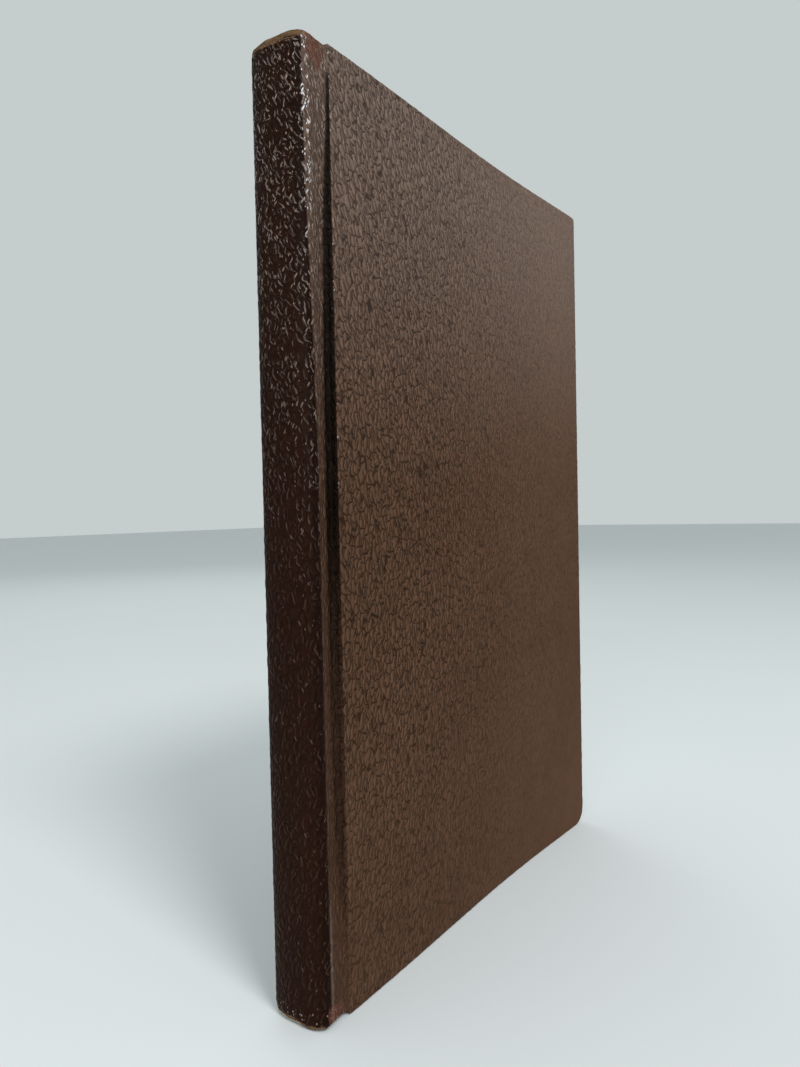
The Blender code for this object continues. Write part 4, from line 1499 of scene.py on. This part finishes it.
def make_stage(context):
    """Pale floor, soft light and the camera."""
    settings = context.scene.book_stage
    turns = ((-1, -1), (1, -1), (1, 1), (-1, 1))
    corners = [(u * FLOOR_HALF, v * FLOOR_HALF, -FLOOR_DROP) for u, v in turns]
    ground = new_object("floor", corners, [(0, 1, 2, 3)], heal=False)
    ground.data.materials.append(floor_finish(settings))

    world = bpy.data.worlds.new("surround")
    world.use_nodes = True
    sky = world.node_tree.nodes["Background"]
    sky.inputs["Color"].default_value = opaque(settings.world_color)
    sky.inputs["Strength"].default_value = 1.0
    context.scene.world = world
    context.scene.view_settings.view_transform = "Standard"

    middle = (0.0, 0.0, HEIGHT / 2)
    powers = (settings.key_power, settings.fill_power, settings.back_power)
    for (name, place, size), power in zip(LIGHTS, powers):
        area_light(name, place, middle, size, power)

    forward = Vector(
        (
            math.cos(CAMERA_YAW) * math.cos(CAMERA_PITCH),
            math.sin(CAMERA_YAW) * math.cos(CAMERA_PITCH),
            -math.sin(CAMERA_PITCH),
        )
    )
    level = Vector((math.sin(CAMERA_YAW), -math.cos(CAMERA_YAW), 0.0))
    upright = level.cross(forward)
    right = math.cos(CAMERA_ROLL) * level + math.sin(CAMERA_ROLL) * upright
    turned = Matrix((right, right.cross(forward), -forward)).transposed()
    camera = bpy.data.objects.new("camera", bpy.data.cameras.new("camera"))
    context.scene.collection.objects.link(camera)
    camera.data.lens = settings.lens
    camera.data.sensor_width = SENSOR_WIDTH
    camera.data.clip_start = NEAR_CLIP
    camera.matrix_world = Matrix.Translation(CAMERA_PLACE) @ turned.to_4x4()
    context.scene.camera = camera


# ---------------------------------------------------------------- add-on
class BookOperator:
    """What every operator here does: it runs the function that makes its pieces."""

    def execute(self, context):
        self.make(context)
        return {"FINISHED"}


class BOOK_OT_cover_cloth(BookOperator, bpy.types.Operator):
    """Wraps the spine and both covers in grained leathercloth."""

    bl_idname = "prayer_book.cover_cloth"
    bl_label = "Cover Cloth"
    make = staticmethod(make_cover_cloth)


class BOOK_OT_boards(BookOperator, bpy.types.Operator):
    """Makes the two greyboards inside the covers."""

    bl_idname = "prayer_book.boards"
    bl_label = "Boards"
    make = staticmethod(make_boards)


class BOOK_OT_endpapers(BookOperator, bpy.types.Operator):
    """Makes the pastedowns and the flyleaves."""

    bl_idname = "prayer_book.endpapers"
    bl_label = "Endpapers"
    make = staticmethod(make_endpapers)


class BOOK_OT_sections(BookOperator, bpy.types.Operator):
    """Folds and nests the sheets of every section."""

    bl_idname = "prayer_book.sections"
    bl_label = "Sections"
    make = staticmethod(make_sections)


class BOOK_OT_gauze(BookOperator, bpy.types.Operator):
    """Weaves the mull glued over the folds."""

    bl_idname = "prayer_book.gauze"
    bl_label = "Mull"
    make = staticmethod(make_gauze)


class BOOK_OT_headbands(BookOperator, bpy.types.Operator):
    """Winds the headband and the tailband."""

    bl_idname = "prayer_book.headbands"
    bl_label = "Headbands"
    make = staticmethod(make_headbands)


class BOOK_OT_linings(BookOperator, bpy.types.Operator):
    """Finishes the spine card, the paper lining and the sewing thread."""

    bl_idname = "prayer_book.linings"
    bl_label = "Linings and Thread"
    make = staticmethod(make_linings)


class BOOK_OT_stage(BookOperator, bpy.types.Operator):
    """Sets the floor, the lights and the camera."""

    bl_idname = "prayer_book.stage"
    bl_label = "Stage"
    make = staticmethod(make_stage)


OPERATORS = (
    BOOK_OT_stage,
    BOOK_OT_cover_cloth,
    BOOK_OT_boards,
    BOOK_OT_endpapers,
    BOOK_OT_sections,
    BOOK_OT_gauze,
    BOOK_OT_headbands,
    BOOK_OT_linings,
)
SETTINGS = {
    "book_cloth": BookClothSettings,
    "book_paper": BookPaperSettings,
    "book_spine": BookSpineSettings,
    "book_stage": BookStageSettings,
}


class BOOK_PT_panel(bpy.types.Panel):
    """Lists the book's settings and the operators that make its pieces."""

    bl_idname = "BOOK_PT_panel"
    bl_label = "Prayer Book"
    bl_space_type = "VIEW_3D"
    bl_region_type = "UI"
    bl_category = "Prayer Book"

    def draw(self, context):
        for name, group in SETTINGS.items():
            box = self.layout.box()
            for label in group.__annotations__:
                box.prop(getattr(context.scene, name), label)
        for operator in OPERATORS:
            self.layout.operator(operator.bl_idname)


CLASSES = (*SETTINGS.values(), *OPERATORS, BOOK_PT_panel)


def register():
    for made in CLASSES:
        bpy.utils.register_class(made)
    for name, group in SETTINGS.items():
        setattr(bpy.types.Scene, name, PointerProperty(type=group))


def unregister():
    for name in SETTINGS:
        delattr(bpy.types.Scene, name)
    for made in reversed(CLASSES):
        bpy.utils.unregister_class(made)


def main():
    register()
    for operator in OPERATORS:
        getattr(bpy.ops.prayer_book, operator.bl_idname.split(".")[1])()


if __name__ == "__main__":
    main()
